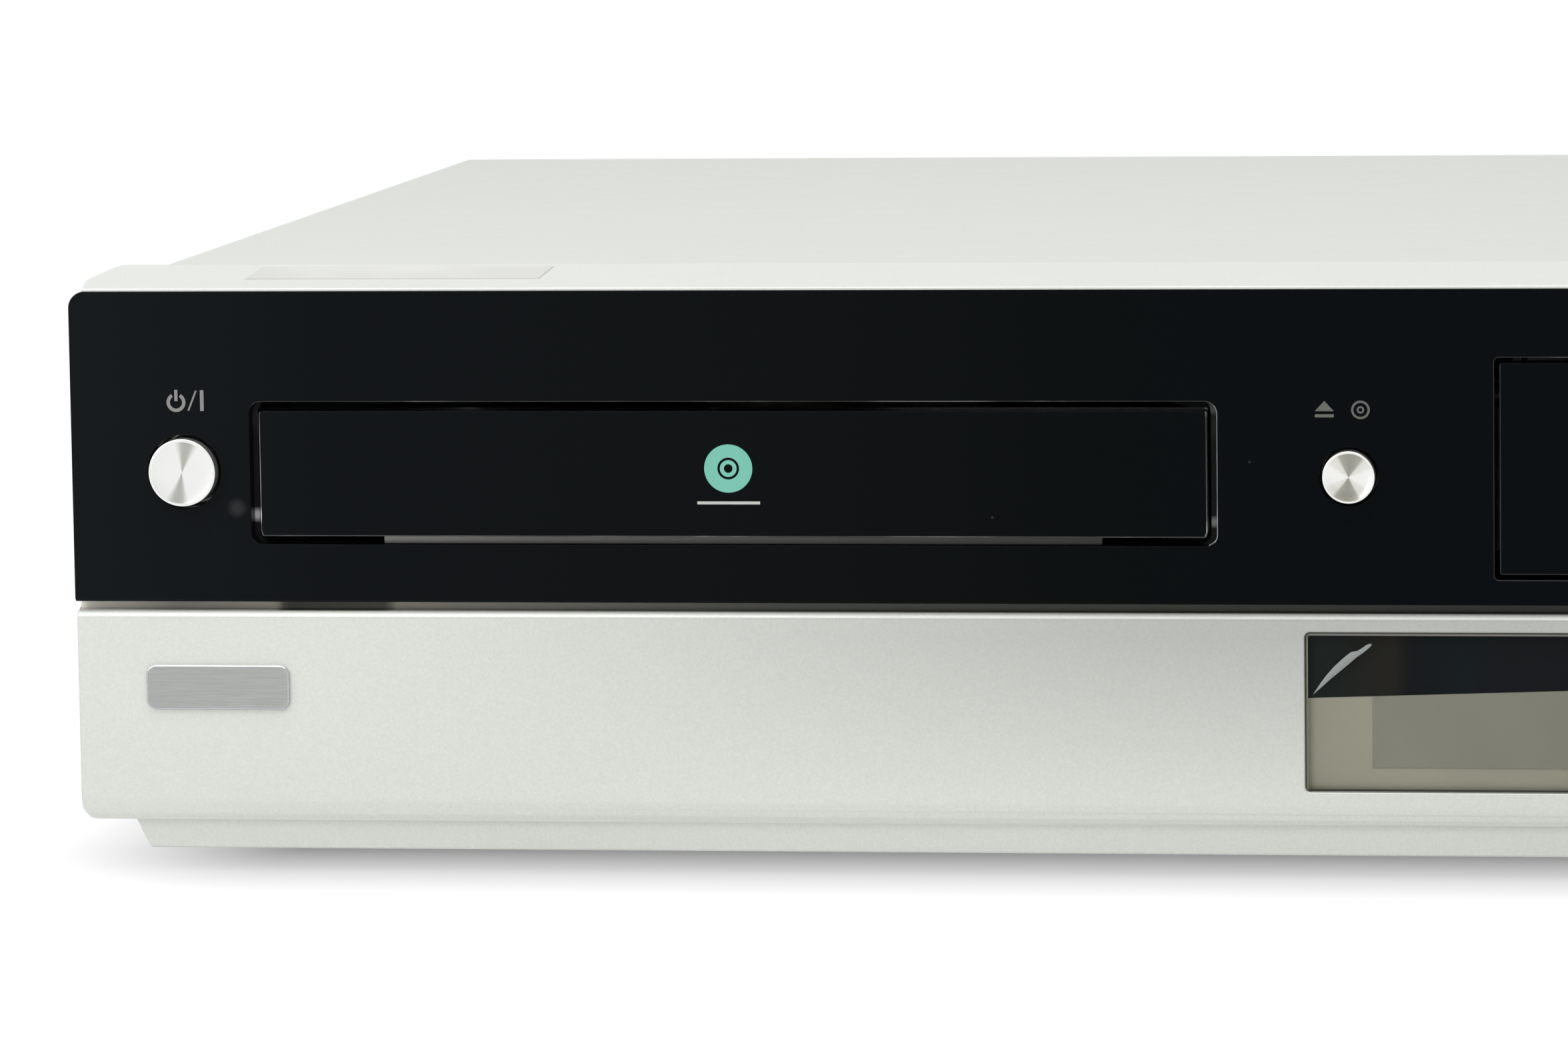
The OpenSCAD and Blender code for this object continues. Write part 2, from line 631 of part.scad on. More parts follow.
loader_x = [-193.5, -54.5];
loader_y = [wall_in + 3, front_y + 178];
module loader_frame() {
    wall = 1.5;
    color("dimgray") {
        difference() {
            block([loader_x[0], loader_y[0], loader_floor - 2], [loader_x[1], loader_y[1], loader_floor]);
            // well that the traverse hangs in, and the hole for the motor's shaft
            block([tray_cx - 30, disc_y - 22, loader_floor - 3],
                [tray_cx + 30, disc_y + 92, loader_floor + 1]);
            rod_z(motor_pos, 2, loader_floor - 3, loader_floor + 1);
        }
        block([loader_x[0], loader_y[0], loader_floor - 0.1], [loader_x[0] + wall, loader_y[1], 61]);
        block([loader_x[1] - wall, loader_y[0], loader_floor - 0.1], [loader_x[1], loader_y[1], 61]);
        // ledges that the tray runs on
        block([loader_x[0] + wall - 0.1, loader_y[0], loader_floor - 0.1],
            [tray_cx - tray_w / 2 + 4, loader_y[1], tray_z0 - 0.2]);
        block([tray_cx + tray_w / 2 - 4, loader_y[0], loader_floor - 0.1],
            [loader_x[1] - wall + 0.1, loader_y[1], tray_z0 - 0.2]);
        // side guides above the tray's edges
        for (s = [-1, 1], y = [loader_y[0] + 6, front_y + 62])
            translate([tray_cx + s * (tray_w / 2 + 1), 0, 0])
                block([s > 0 ? -2.2 : -4, y, tray_z1 + 0.2], [s > 0 ? 4 : 2.2, y + 10, tray_z1 + 2]);
        rod_z(gear_pos, 1.5, loader_floor - 0.1, gear_z + gear_t - 0.1);
        rod_z(pulley_pos, 1.5, loader_floor - 0.1, gear_z + gear_t - 0.1);
        // legs down to the chassis pan
        for (x = [loader_x[0] + 4, loader_x[1] - 4], y = [front_y + 29, loader_y[1] - 6])
            rod_z([x, y], 4, pan_top, loader_floor - 1.9);
        // hinge lugs of the traverse
        for (s = [-1, 1]) translate([tray_cx + s * 27.6, 0, 0]) difference() {
            block([-1.5, traverse_hinge[0] - 4, loader_floor - 4.5],
                [1.5, traverse_hinge[0] + 4, loader_floor + 4.5]);
            rod_x(traverse_hinge, 1.5 + fit, -3, 3);
        }
    }
}

traverse_hinge = [disc_y + 88, loader_floor + 1.5];
module disc_tray() {
    floor_z = tray_z1 - 2.7;
    x0 = tray_cx - tray_w / 2;
    x1 = tray_cx + tray_w / 2;
    color("black") difference() {
        block([x0, wall_in, tray_z0], [x1, tray_back, tray_z1]);
        // the two stepped disc recesses
        rod_z([tray_cx, disc_y], disc_d / 2, floor_z, tray_z1 + 1);
        rod_z([tray_cx, disc_y], 41, floor_z - 1.2, tray_z1 + 1);
        // slot for the turntable and the pickup, open at the rear
        rod_z([tray_cx, disc_y], slot_half, tray_z0 - 1, tray_z1 + 1);
        block([tray_cx - slot_half, disc_y, tray_z0 - 1],
            [tray_cx + slot_half, tray_back + 1, tray_z1 + 1]);
        // underside hollowed out, leaving the recess floor and the rim
        block([x0 + 2, wall_in + 2, tray_z0 - 1], [x1 - 2, disc_y - 42, tray_z0 + 1.1]);
        // finger notches at the sides of the recess
        for (s = [-1, 1]) translate([tray_cx + s * 58, disc_y, floor_z]) cylinder(r = 14, h = 6);
    }
    color("black") difference() {
        linear_extrude_at([rack_x, 0, tray_z0 - 2.6], 2.7)
            translate([0, rack_y0]) rack_teeth(gear_m, rack_teeth_n);
        block([rack_x - 5, tray_back, tray_z0 - 4], [rack_x + 9, tray_back + 9, tray_z0 + 4]);
    }
    color("black")
        block([rack_x + 1.3, front_y + 6.2, tray_z0 - 2.6], [rack_x + 3.4, tray_back, tray_z0 + 0.1]);
}

module linear_extrude_at(p, h) {
    translate(p) linear_extrude(h) children();
}

module tray_door() {
    y_back = wall_in;
    ridge_w = 98.6;
    color("black") {
        difference() {
            front_block(tray_cx, tray_cz, tray_door_w, tray_door_h, 0.5, front_y, y_back);
            front_block(tray_cx, tray_cz + 3.4, tray_door_w - 5, tray_door_h - 11, 0.5,
                front_y + 2.2, y_back + 1);
        }
        block([tray_cx + 1.3 - ridge_w / 2, front_y + 0.6, tray_door_z - 0.8],
            [tray_cx + 1.3 + ridge_w / 2, front_y + 4, tray_door_z + 0.2]);
    }
}

// Wheel that drives the rack, turning on a post of the frame
module tray_gear() {
    color("ivory") difference() {
        union() {
            translate([gear_pos[0], gear_pos[1], gear_z]) linear_extrude(gear_t)
                gear_outline(gear_m, gear_n);
            rod_z(gear_pos, 3.4, loader_floor + 0.1, gear_z + 0.1);
        }
        rod_z(gear_pos, 1.5 + fit, loader_floor - 1, gear_z + gear_t + 1);
    }
}

module tray_pulley() {
    color("ivory") difference() {
        union() {
            rotate_about(pulley_pos, 360 / pinion_n / 2 + pulley_dir) translate([0, 0, gear_z])
                linear_extrude(gear_t) gear_outline(gear_m, pinion_n);
            rod_z(pulley_pos, 4.2, pulley_z, gear_z + 0.1);
            rod_z(pulley_pos, pulley_r, pulley_z, pulley_z + 0.7);
            rod_z(pulley_pos, pulley_r - 1, pulley_z + 0.6, pulley_z + 2);
            rod_z(pulley_pos, pulley_r, pulley_z + 1.9, pulley_z + 2.6);
        }
        rod_z(pulley_pos, 1.5 + fit, loader_floor, gear_z + gear_t + 1);
    }
}

module rotate_about(p, a) {
    translate([p[0], p[1], 0]) rotate(a) children();
}

// Belt loop round both pulleys: straight runs tangent to both rims
module tray_belt() {
    gap = 0.15;
    ra = pulley_r - 1 + gap;
    rb = motor_pulley_r - 1 + gap;
    d = pulley_pos - motor_pos;
    color("black") translate([motor_pos[0], motor_pos[1], pulley_z + 0.8])
        rotate(atan2(d[1], d[0])) linear_extrude(1) difference() {
            belt_outline(ra + belt_w, rb + belt_w, norm(d));
            belt_outline(ra, rb, norm(d));
        }
}

module belt_outline(ra, rb, dist) {
    wrap = acos((rb - ra) / dist);
    steps = 24;
    polygon(concat(
        [for (i = [0:steps]) [dist, 0] + ra * dir2(-wrap + 2 * wrap * i / steps)],
        [for (i = [0:steps]) rb * dir2(wrap + (360 - 2 * wrap) * i / steps)]));
}
function dir2(a) = [cos(a), sin(a)];

module tray_motor() {
    color("silver") difference() {
        union() {
            rod_z(motor_pos, 12.2, loader_floor - 14.5, loader_floor - 2);
            rod_z(motor_pos, 3, loader_floor - 16, loader_floor - 14.4);
        }
        rod_z(motor_pos, 1 + fit, loader_floor - 12, loader_floor);
    }
}

module motor_pulley() {
    color("brown") {
        rod_z(motor_pos, 1, loader_floor - 11, pulley_z + 0.1);
        rod_z(motor_pos, motor_pulley_r, pulley_z, pulley_z + 0.7);
        rod_z(motor_pos, motor_pulley_r - 1, pulley_z + 0.6, pulley_z + 2);
        rod_z(motor_pos, motor_pulley_r, pulley_z + 1.9, pulley_z + 2.6);
    }
}

plate_z = loader_floor - 1.5;
rod_dx = 19;
rod_z0 = plate_z + 0.2;
module traverse_frame() {
    y0 = disc_y - 19;
    y1 = disc_y + 84;
    color("gray") difference() {
        union() {
            block([tray_cx - 25, y0, plate_z - 1.5], [tray_cx + 25, y1, plate_z + 2]);
            block([tray_cx - 25, y1 - 4, plate_z - 1.5], [tray_cx + 25, y1, traverse_hinge[1] + 2]);
            block([tray_cx - 25, y1 - 2, traverse_hinge[1] - 2],
                [tray_cx + 25, traverse_hinge[0], traverse_hinge[1] + 2]);
            rod_x(traverse_hinge, 1.5, tray_cx - 28.8, tray_cx + 28.8);
        }
        rod_z([tray_cx, disc_y], 14.8, plate_z - 2, plate_z + 3);
        block([tray_cx - 22, disc_y + 9, plate_z - 2], [tray_cx + 22, disc_y + 76, plate_z + 3]);
    }
}

module spindle_motor() {
    color("silver") difference() {
        union() {
            rod_z([tray_cx, disc_y], 14.8, plate_z - 1.5, plate_z - 0.4);
            rod_z([tray_cx, disc_y], 11, plate_z - 4, plate_z - 1.4);
            rod_z([tray_cx, disc_y], 4, plate_z - 0.5, plate_z + 2);
        }
        rod_z([tray_cx, disc_y], 1 + fit, plate_z - 3, plate_z + 3);
    }
}

turntable_top = tray_z1 - 0.8;
module turntable() {
    color("dimgray") {
        rod_z([tray_cx, disc_y], 1, plate_z - 2.5, turntable_top - 1);
        difference() {
            rod_z([tray_cx, disc_y], 13.6, plate_z, plate_z + 5);
            rod_z([tray_cx, disc_y], 12.6, plate_z - 1, plate_z + 4);
        }
        rod_z([tray_cx, disc_y], 15, turntable_top - 2, turntable_top);
        rod_z([tray_cx, disc_y], 5, plate_z + 3.9, turntable_top - 1.9);
        translate([tray_cx, disc_y, turntable_top]) cylinder(r1 = 7.4, r2 = 4.5, h = 1.8);
    }
}

pickup_y = disc_y + lens_r0 + 2;
module optical_pickup() {
    color("black") difference() {
        union() {
            block([tray_cx - 15, pickup_y - 10, rod_z0 - 2.5], [tray_cx + 15, pickup_y + 14, rod_z0 + 3]);
            block([tray_cx - 20.9, pickup_y - 6, rod_z0 - 2.5],
                [tray_cx - 14.9, pickup_y + 8, rod_z0 + 2.5]);
            block([tray_cx + 14.9, pickup_y - 2, rod_z0 - 2.5],
                [tray_cx + 20.9, pickup_y + 6, rod_z0 + 2.5]);
            block([tray_cx - 9, pickup_y - 7, rod_z0 + 2.9], [tray_cx + 9, pickup_y + 9, rod_z0 + 7]);
        }
        for (s = [-1, 1]) rod_y([tray_cx + s * rod_dx, rod_z0], 1.5 + fit, pickup_y - 20, pickup_y + 20);
        rod_z([tray_cx, pickup_y], 3.2, rod_z0 + 4, rod_z0 + 8);
    }
    color("lightblue") translate([tray_cx, pickup_y, rod_z0 + 3.9]) cylinder(r1 = 3.2, r2 = 1.8, h = 2.6);
}

// One steel guide rod on the left; the lead screw runs on the right
module guide_rods() {
    color("silver") rod_y([tray_cx - rod_dx, rod_z0], 1.5, disc_y + 8.9, disc_y + 76.1);
}

module sled_screw() {
    color("silver") {
        rod_y([tray_cx + rod_dx, rod_z0], 1.5, disc_y + 9.1, disc_y + 68);
        rod_y([tray_cx + rod_dx, rod_z0], 3, disc_y + 68, disc_y + 75.8);
    }
}

bridge_z = 60;
module clamp_bridge() {
    y0 = disc_y - 16;
    y1 = disc_y + 16;
    color("gray") difference() {
        union() {
            block([loader_x[0], y0, bridge_z + 1], [loader_x[1], y1, bridge_z + 2.2]);
            for (x = [loader_x[0], loader_x[1] - 8]) block([x, y0, 61], [x + 8, y1, bridge_z + 1.1]);
        }
        rod_z([tray_cx, disc_y], 10, bridge_z, bridge_z + 3);
    }
}

// Magnet puck that hangs in the bridge and spins with the disc
module clamp_disc() {
    color("ivory") {
        rod_z([tray_cx, disc_y], 13, bridge_z - 3.6, bridge_z + 0.4);
        rod_z([tray_cx, disc_y], 9.6, bridge_z + 0.3, bridge_z + 2.6);
        rod_z([tray_cx, disc_y], 13, bridge_z + 2.5, bridge_z + 3.6);
    }
}

// ---- cassette bay ----

door_hinge = [front_y + 3.3, tape_door_z + 27.8];
door_pin_r = 0.65;
module cassette_door() {
    x1 = tape_x0 + tape_door_w;
    color("black") {
        front_block(tape_cx, tape_cz, tape_door_w, tape_door_h, 0.4, front_y, front_y + 3);
        block([tape_x0 + 0.5, front_y + 2.9, door_hinge[1] - 1.3],
            [x1 - 0.5, front_y + 4.1, tape_door_z + tape_door_h]);
        for (x = [tape_x0 + 0.5, x1 - 2.5])
            block([x, front_y + 2.9, tape_door_z + 1], [x + 2, front_y + 4, door_hinge[1]]);
    }
    color("silver") rod_x(door_hinge, door_pin_r, tape_x0 - 2.6, tape_x0 + 3);
    color("silver") rod_x(door_hinge, door_pin_r, x1 - 3, x1 + 2.6);
}

// Closing spring of the door: a short coil on a boss beside the opening, with two legs
module door_spring() {
    x = tape_x0 - 3.2;
    c = [wall_in + 3.2, door_hinge[1]];
    color("silver") {
        for (k = [0:4]) translate([x - k * 0.78, c[0], c[1]]) rotate([0, 90, 0])
            rotate_extrude() translate([2.1, 0]) circle(0.4);
        rod_x([c[0], c[1] + 2.1], 0.4, x, x + 4.5);
        rod_z([x - 3.12, c[0] + 2.1], 0.4, c[1] - 9, c[1]);
    }
    color("whitesmoke") {
        rod_x(c, 1.5, x - 4.6, x + 0.8);
        block([x - 5.6, wall_in, c[1] - 2], [x - 4.5, c[0] + 1.5, c[1] + 2]);
    }
}

module deck_chassis() {
    side_h = 66;
    color("silver") difference() {
        block([deck_x0, deck_y0, deck_z], [deck_x1, deck_y1, deck_top]);
        rod_z(capstan_pos, 1.5 + fit, deck_z - 1, deck_top + 1);
        for (s = [-1, 1]) translate([tape_cx + s * 78, front_y + 120, deck_z])
            cube([20, 60, 6], center = true);
        translate([tape_cx, front_y + 80, deck_z]) cube([30, 46, 6], center = true);
    }
    // side plates with the slot that the carriage runs in
    for (x = [deck_x0, deck_x1 - 1.2]) color("silver") difference() {
        block([x, deck_y0, deck_top - 0.1], [x + 1.2, front_y + 146, side_h]);
        block([x - 1, slider_y0 + 6, slider_pin_z - 2],
            [x + 3, slider_y0 + 54 + carriage_travel, slider_pin_z + 2]);
        block([x - 1, deck_y0 + 30, deck_top + 8], [x + 3, front_y + 130, deck_top + 24]);
    }
    // posts of the two reels, of the cam wheel and of the pinch arm, and four legs
    for (s = [-1, 1])
        color("silver") rod_z([tape_cx + s * reel_dx, reel_y], 1.5, deck_top - 0.1, deck_top + 12);
    color("silver") {
        rod_z(cam_pos, 2, deck_top - 0.1, deck_top + 5);
        rod_z(pinch_pivot, 1.5, deck_top - 0.1, deck_top + 8);
    }
    for (x = [deck_x0 + 6, deck_x1 - 6], y = [deck_y0 + 6, deck_y1 - 6])
        color("silver") rod_z([x, y], 3, pan_top, deck_z + 0.1);
}

// Fixed lower drum on its foot, leaning back with the tape path
module drum_base() {
    color("lightgray") difference() {
        union() {
            rod_z(drum_pos, drum_d / 2 - 3, deck_top, drum_z + 2);
            lean_drum(0) cylinder(r = drum_d / 2, h = 15);
        }
        rod_z(drum_pos, drum_d, deck_top - 20, deck_top);
        lean_drum(2) cylinder(r = 3 + fit, h = 20);
    }
}
module lean_drum(t) {
    translate([drum_pos[0], drum_pos[1], drum_z])
        rotate([-drum_tilt, 0, 0]) translate([0, 0, t]) children();
}

module head_drum() {
    color("silver") {
        lean_drum(3) cylinder(r = 3, h = 14);
        lean_drum(15.4) difference() {
            cylinder(r = drum_d / 2, h = 14);
            translate([0, 0, 11]) cylinder(r = drum_d / 2 - 5, h = 4);
            for (a = [0, 180]) rotate(a) translate([drum_d / 2, 0, 0]) cube([3, 4, 2.4], center = true);
        }
        lean_drum(26) cylinder(r = 9, h = 5);
    }
    color("dimgray") for (a = [0, 180]) lean_drum(15.6) rotate(a)
        translate([drum_d / 2 - 1.6, -0.8, 0]) cube([1.3, 1.6, 0.8]);
}

module reel(x) {
    p = [x, reel_y];
    color("ivory") difference() {
        union() {
            rod_z(p, 21.5, deck_top + 0.6, deck_top + 4);
            rod_z(p, 8.5, deck_top + 3.9, deck_top + 8);
            rod_z(p, 5, deck_top + 7.9, deck_top + 13);
            for (a = [0, 120, 240]) translate([x, reel_y, deck_top + 7]) rotate(a)
                translate([4, -0.8, 0]) cube([4.2, 1.6, 5]);
        }
        rod_z(p, 1.5 + fit, deck_top, deck_top + 12.2);
    }
}
module supply_reel() { reel(tape_cx - reel_dx); }
module takeup_reel() { reel(tape_cx + reel_dx); }

module capstan() {
    color("silver") rod_z(capstan_pos, 1.5, deck_z - 3, deck_top + 30);
    color("gray") difference() {
        rod_z(capstan_pos, 20, deck_z - 7, deck_z - 1.5);
        rod_z(capstan_pos, 16, deck_z - 8, deck_z - 5);
    }
    color("gray") rod_z(capstan_pos, 5, deck_z - 7, deck_z - 1.5);
}

// Erase head, sound and control head, and the tape's guide posts
module tape_heads() {
    erase = [tape_cx - 62, front_y + 176];
    sound = [tape_cx + 38, front_y + 186];
    for (p = [erase, sound]) color("gray") {
        block([p[0] - 5, p[1] - 4, deck_top + 3], [p[0] + 5, p[1] + 4, deck_top + 24]);
        block([p[0] - 7, p[1] - 5, deck_top], [p[0] + 7, p[1] + 7, deck_top + 3.1]);
    }
    for (x = [tape_cx - 44, tape_cx - 36, tape_cx + 34]) color("silver") {
        p = [x, front_y + 175];
        rod_z(p, 2, deck_top, deck_top + 26);
        rod_z(p, 3.2, deck_top + 4, deck_top + 6);
        rod_z(p, 3.2, deck_top + 19, deck_top + 21);
    }
}

module pinch_arm() {
    a = pinch_rest;
    color("gray") difference() {
        union() {
            rod_z(pinch_pivot, 4, deck_top + 0.5, deck_top + 6);
            rotate_about(pinch_pivot, a)
                translate([1, -2.2, deck_top + 2.2]) cube([pinch_len - 1, 4.4, 1.6]);
            rod_z(pinch_pos, 3, deck_top + 2, deck_top + 4);
            rod_z(pinch_pos, 1.2, deck_top + 3.9, deck_top + 20);
        }
        rod_z(pinch_pivot, 1.5 + fit, deck_top, deck_top + 9);
    }
}

module pinch_roller() {
    color("dimgray") difference() {
        rod_z(pinch_pos, 5.8, deck_top + 5, deck_top + 19);
        rod_z(pinch_pos, 1.2 + fit, deck_top + 4, deck_top + 20);
    }
}

// Basket: two side channels joined by a bridge over the cassette
module cassette_basket() {
    y0 = basket_y0;
    y1 = y0 + basket_len;
    wall = 1.2;
    top = basket_floor + basket_in_h;
    for (s = [-1, 1]) color("silver") translate([tape_cx, 0, 0]) {
        x_in = s * basket_w / 2;
        x_out = s * (basket_w / 2 + wall);
        block([min(x_in, x_out), y0, basket_floor - 1], [max(x_in, x_out), y1, top + 1]);
        block([min(x_out, x_in - s * 22), y0, basket_floor - 1],
            [max(x_out, x_in - s * 22), y1, basket_floor]);
        block([min(x_out, x_in - s * 12), y0, top], [max(x_out, x_in - s * 12), y1, top + 1]);
        for (y = [y0 + 22, y0 + 52]) rod_x([y, basket_floor + 4], 1.2,
            s > 0 ? x_out - 0.1 : x_out - 2.6, s > 0 ? x_out + 2.6 : x_out + 0.1);
    }
    color("silver") difference() {
        block([tape_cx - basket_w / 2 - wall, y0 + 24, top],
            [tape_cx + basket_w / 2 + wall, y1 - 8, top + 1]);
        for (s = [-1, 1]) translate([tape_cx + s * 45, y0 + 46, top]) cube([50, 26, 4], center = true);
    }
    color("silver") block([tape_cx - basket_w / 2 - wall, y1 - 1.2, top - 8],
        [tape_cx + basket_w / 2 + wall, y1, top + 1]);
}

slider_y0 = basket_y0 + 6;
slider_pin_z = 61;
// Side arms that run inwards on the deck's plates and carry the basket down in their slots
module carriage_slider() {
    x_in = basket_w / 2 + 2.2;
    x_out = x_in + 1.2;
    top = 75;
    for (s = [-1, 1]) color("gray") translate([tape_cx, 0, 0]) {
        difference() {
            block([min(s * x_in, s * x_out), slider_y0, 18.6],
                [max(s * x_in, s * x_out), slider_y0 + 64, top]);
            for (y = [basket_y0 + 22, basket_y0 + 52])
                block([s > 0 ? x_in - 1 : -x_out - 1, y - 1.5, basket_floor + 4 - basket_drop - 1.5],
                    [s > 0 ? x_out + 1 : -x_in + 1, y + 1.5, basket_floor + 4 + 1.5]);
        }
        for (y = [slider_y0 + 10, slider_y0 + 50]) rod_x([y, slider_pin_z], 1.7,
            s > 0 ? x_out - 0.1 : -x_out - 4, s > 0 ? x_out + 4 : -x_out + 0.1);
    }
    color("gray") for (y = [slider_y0 + 20, slider_y0 + 58])
        rod_x([y, top - 3], 1.6, tape_cx - x_out + 0.1, tape_cx + x_out - 0.1);
}

module loading_motor() {
    x = loading_pos[0];
    y = loading_pos[1];
    color("silver") difference() {
        union() {
            rod_z(loading_pos, 10, deck_top + 7, deck_top + 21);
            block([x - 12, y - 3, deck_top + 6], [x + 5, y + 14, deck_top + 7.1]);
            block([x - 12, y + 12.8, deck_top], [x + 5, y + 14, deck_top + 7]);
        }
        rod_z(loading_pos, 1 + fit, deck_top + 5, deck_top + 18);
    }
}

module loading_pinion() {
    color("ivory") {
        rod_z(loading_pos, 1, deck_top + 1, deck_top + 16);
        translate([loading_pos[0], loading_pos[1], deck_top + 0.8]) rotate(180 / loading_n)
            linear_extrude(4) gear_outline(gear_m, loading_n);
    }
}

module cam_gear() {
    color("ivory") difference() {
        union() {
            translate([cam_pos[0], cam_pos[1], deck_top + 0.8]) linear_extrude(3.4)
                gear_outline(gear_m, cam_n);
            rod_z(cam_pos, 5, deck_top + 0.4, deck_top + 4.8);
        }
        rod_z(cam_pos, 2 + fit, deck_top, deck_top + 6);
        // cam track
        translate([cam_pos[0] + 3, cam_pos[1], deck_top + 2.4]) difference() {
            cylinder(r = 11.5, h = 3);
            translate([0, 0, -1]) cylinder(r = 8.5, h = 5);
        }
    }
}

// ---- assembly ----
top_cover();
bottom_pan();
rear_panel();
front_bezel();
black_fascia();
base_skirt();
display_window();
display_module();
control_board();
power_button();
disc_eject_button();
tape_eject_button();
rewind_button();
play_button();
forward_button();
stop_button();
record_button();
front_jacks();
cassette_door();
door_spring();
tray_door();
feet();
case_screws();
rear_jacks();
power_inlet();
badge_plate();
main_board();
board_parts();
power_board();
power_parts();
flat_cable();
loader_frame();
disc_tray();
tray_gear();
tray_pulley();
tray_belt();
tray_motor();
motor_pulley();
traverse_frame();
turntable();
spindle_motor();
optical_pickup();
guide_rods();
sled_screw();
clamp_bridge();
clamp_disc();
deck_chassis();
drum_base();
head_drum();
supply_reel();
takeup_reel();
capstan();
tape_heads();
pinch_arm();
pinch_roller();
cassette_basket();
carriage_slider();
loading_motor();
loading_pinion();
cam_gear();
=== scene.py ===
# %% [markdown]
# # A disc and tape player, dressed in Blender
# The frame holds the player's sixty parts at their real size. Here each visible
# part gets its finish, and the parts of the front are modelled again with soft
# edges, because light running along a small rounded edge is what makes moulded
# plastic and folded steel look real.

# %% Load the frame
import json
import math

import bpy
from mathutils import Matrix, Vector


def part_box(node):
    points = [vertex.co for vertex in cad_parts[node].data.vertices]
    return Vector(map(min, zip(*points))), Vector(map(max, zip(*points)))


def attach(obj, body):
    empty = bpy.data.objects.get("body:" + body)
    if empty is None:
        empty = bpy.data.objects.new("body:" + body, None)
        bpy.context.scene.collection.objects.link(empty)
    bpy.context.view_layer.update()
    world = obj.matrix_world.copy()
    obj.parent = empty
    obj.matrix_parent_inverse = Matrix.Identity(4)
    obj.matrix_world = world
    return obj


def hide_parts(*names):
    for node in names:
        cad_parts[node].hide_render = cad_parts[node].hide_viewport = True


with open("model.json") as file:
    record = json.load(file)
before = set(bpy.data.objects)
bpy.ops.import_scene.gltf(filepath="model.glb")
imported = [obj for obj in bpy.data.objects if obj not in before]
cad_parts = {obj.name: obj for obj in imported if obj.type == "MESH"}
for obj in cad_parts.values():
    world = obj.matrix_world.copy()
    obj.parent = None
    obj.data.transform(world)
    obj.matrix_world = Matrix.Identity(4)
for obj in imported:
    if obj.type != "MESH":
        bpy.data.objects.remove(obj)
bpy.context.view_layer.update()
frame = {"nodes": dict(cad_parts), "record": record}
NODES = frame["nodes"]
print("parts in the frame:", len(NODES))

# %% [markdown]
# Everything below is written in millimetres, as a maker would, and turned into
# Blender's metres by one factor. The panel's face is the plane most measures
# start from, so it is read from the black panel itself.

# %% Units and reference planes
MM = 0.001
FACE_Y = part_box("black_fascia")[0].y / MM
HALF_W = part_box("black_fascia")[1].x / MM
PANEL_LOW, PANEL_HIGH = (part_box("black_fascia")[i].z / MM for i in (0, 1))
BAND_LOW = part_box("front_bezel")[0].z / MM
FRAME_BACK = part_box("front_bezel")[1].y / MM


def corners(name):
    """The lowest and the highest corner of a part of the frame, in millimetres."""
    return [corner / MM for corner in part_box(name)]


print("panel face at y =", round(FACE_Y, 2), "mm, half width", round(HALF_W, 2))

# %% [markdown]
# ## Camera
# The camera stands in front of the left half of the player, a little above it,
# and looks slightly down with a long lens, so the top shows as a shallow wedge.

# %% Camera
CAM_PLACE = Vector((-2.3, FACE_Y - 837.6, 151.1))
CAM_LEFT, CAM_DOWN, CAM_ROLL = (math.radians(a) for a in (6.014, 5.507, -0.630))
CAM_LENS = 143.88
CAM_SHIFT = (-0.12, -0.10)

level = Vector((math.cos(CAM_LEFT), math.sin(CAM_LEFT), 0))
ahead = Vector((-math.sin(CAM_LEFT), math.cos(CAM_LEFT), 0))
aim = ahead * math.cos(CAM_DOWN) - Vector((0, 0, math.sin(CAM_DOWN)))
rise = ahead * math.sin(CAM_DOWN) + Vector((0, 0, math.cos(CAM_DOWN)))
right = level * math.cos(CAM_ROLL) + rise * math.sin(CAM_ROLL)
top = rise * math.cos(CAM_ROLL) - level * math.sin(CAM_ROLL)

camera = bpy.data.objects.new("camera", bpy.data.cameras.new("camera"))
bpy.context.scene.collection.objects.link(camera)
bpy.context.scene.camera = camera
camera.data.lens = CAM_LENS
camera.data.sensor_width = 36.0
camera.data.shift_x, camera.data.shift_y = CAM_SHIFT
camera.data.clip_start, camera.data.clip_end = 0.05, 20.0
camera.location = CAM_PLACE * MM
camera.rotation_mode = "QUATERNION"
camera.rotation_quaternion = Matrix((right, top, -aim)).transposed().to_quaternion()
print("camera looks along", [round(v, 3) for v in aim])

# %% [markdown]
# ## Floor and light
# The floor and the background are white only for rays that come from the camera
# or from a shiny surface. The object itself is lit by three soft lamps and a dim
# even sky, so a colour renders about as it is written.

# %% Plain view settings
bpy.context.scene.view_settings.view_transform = "Standard"


def node_of(tree, kind, fed=None, **values):
    """Adds a shader node, sets its plain properties, and feeds its inputs.

    By an input's name or number, fed gives a constant, another node's output, or
    a whole node, whose first output is then meant.
    """
    made = tree.nodes.new(kind)
    for name, value in values.items():
        setattr(made, name, value)
    for name, value in (fed or {}).items():
        if isinstance(value, bpy.types.Node):
            value = value.outputs[0]
        if isinstance(value, bpy.types.NodeSocket):
            tree.links.new(value, made.inputs[name])
        else:
            made.inputs[name].default_value = value
    return made


def maths(tree, operation, *terms):
    """The result of one step of maths on numbers or nodes' outputs."""
    return node_of(tree, "ShaderNodeMath", dict(enumerate(terms)), operation=operation).outputs[0]


def vector_maths(tree, operation, *terms):
    """The same for vectors; a length comes out as a number."""
    made = node_of(tree, "ShaderNodeVectorMath", dict(enumerate(terms)), operation=operation)
    return made.outputs["Value" if operation == "LENGTH" else "Vector"]


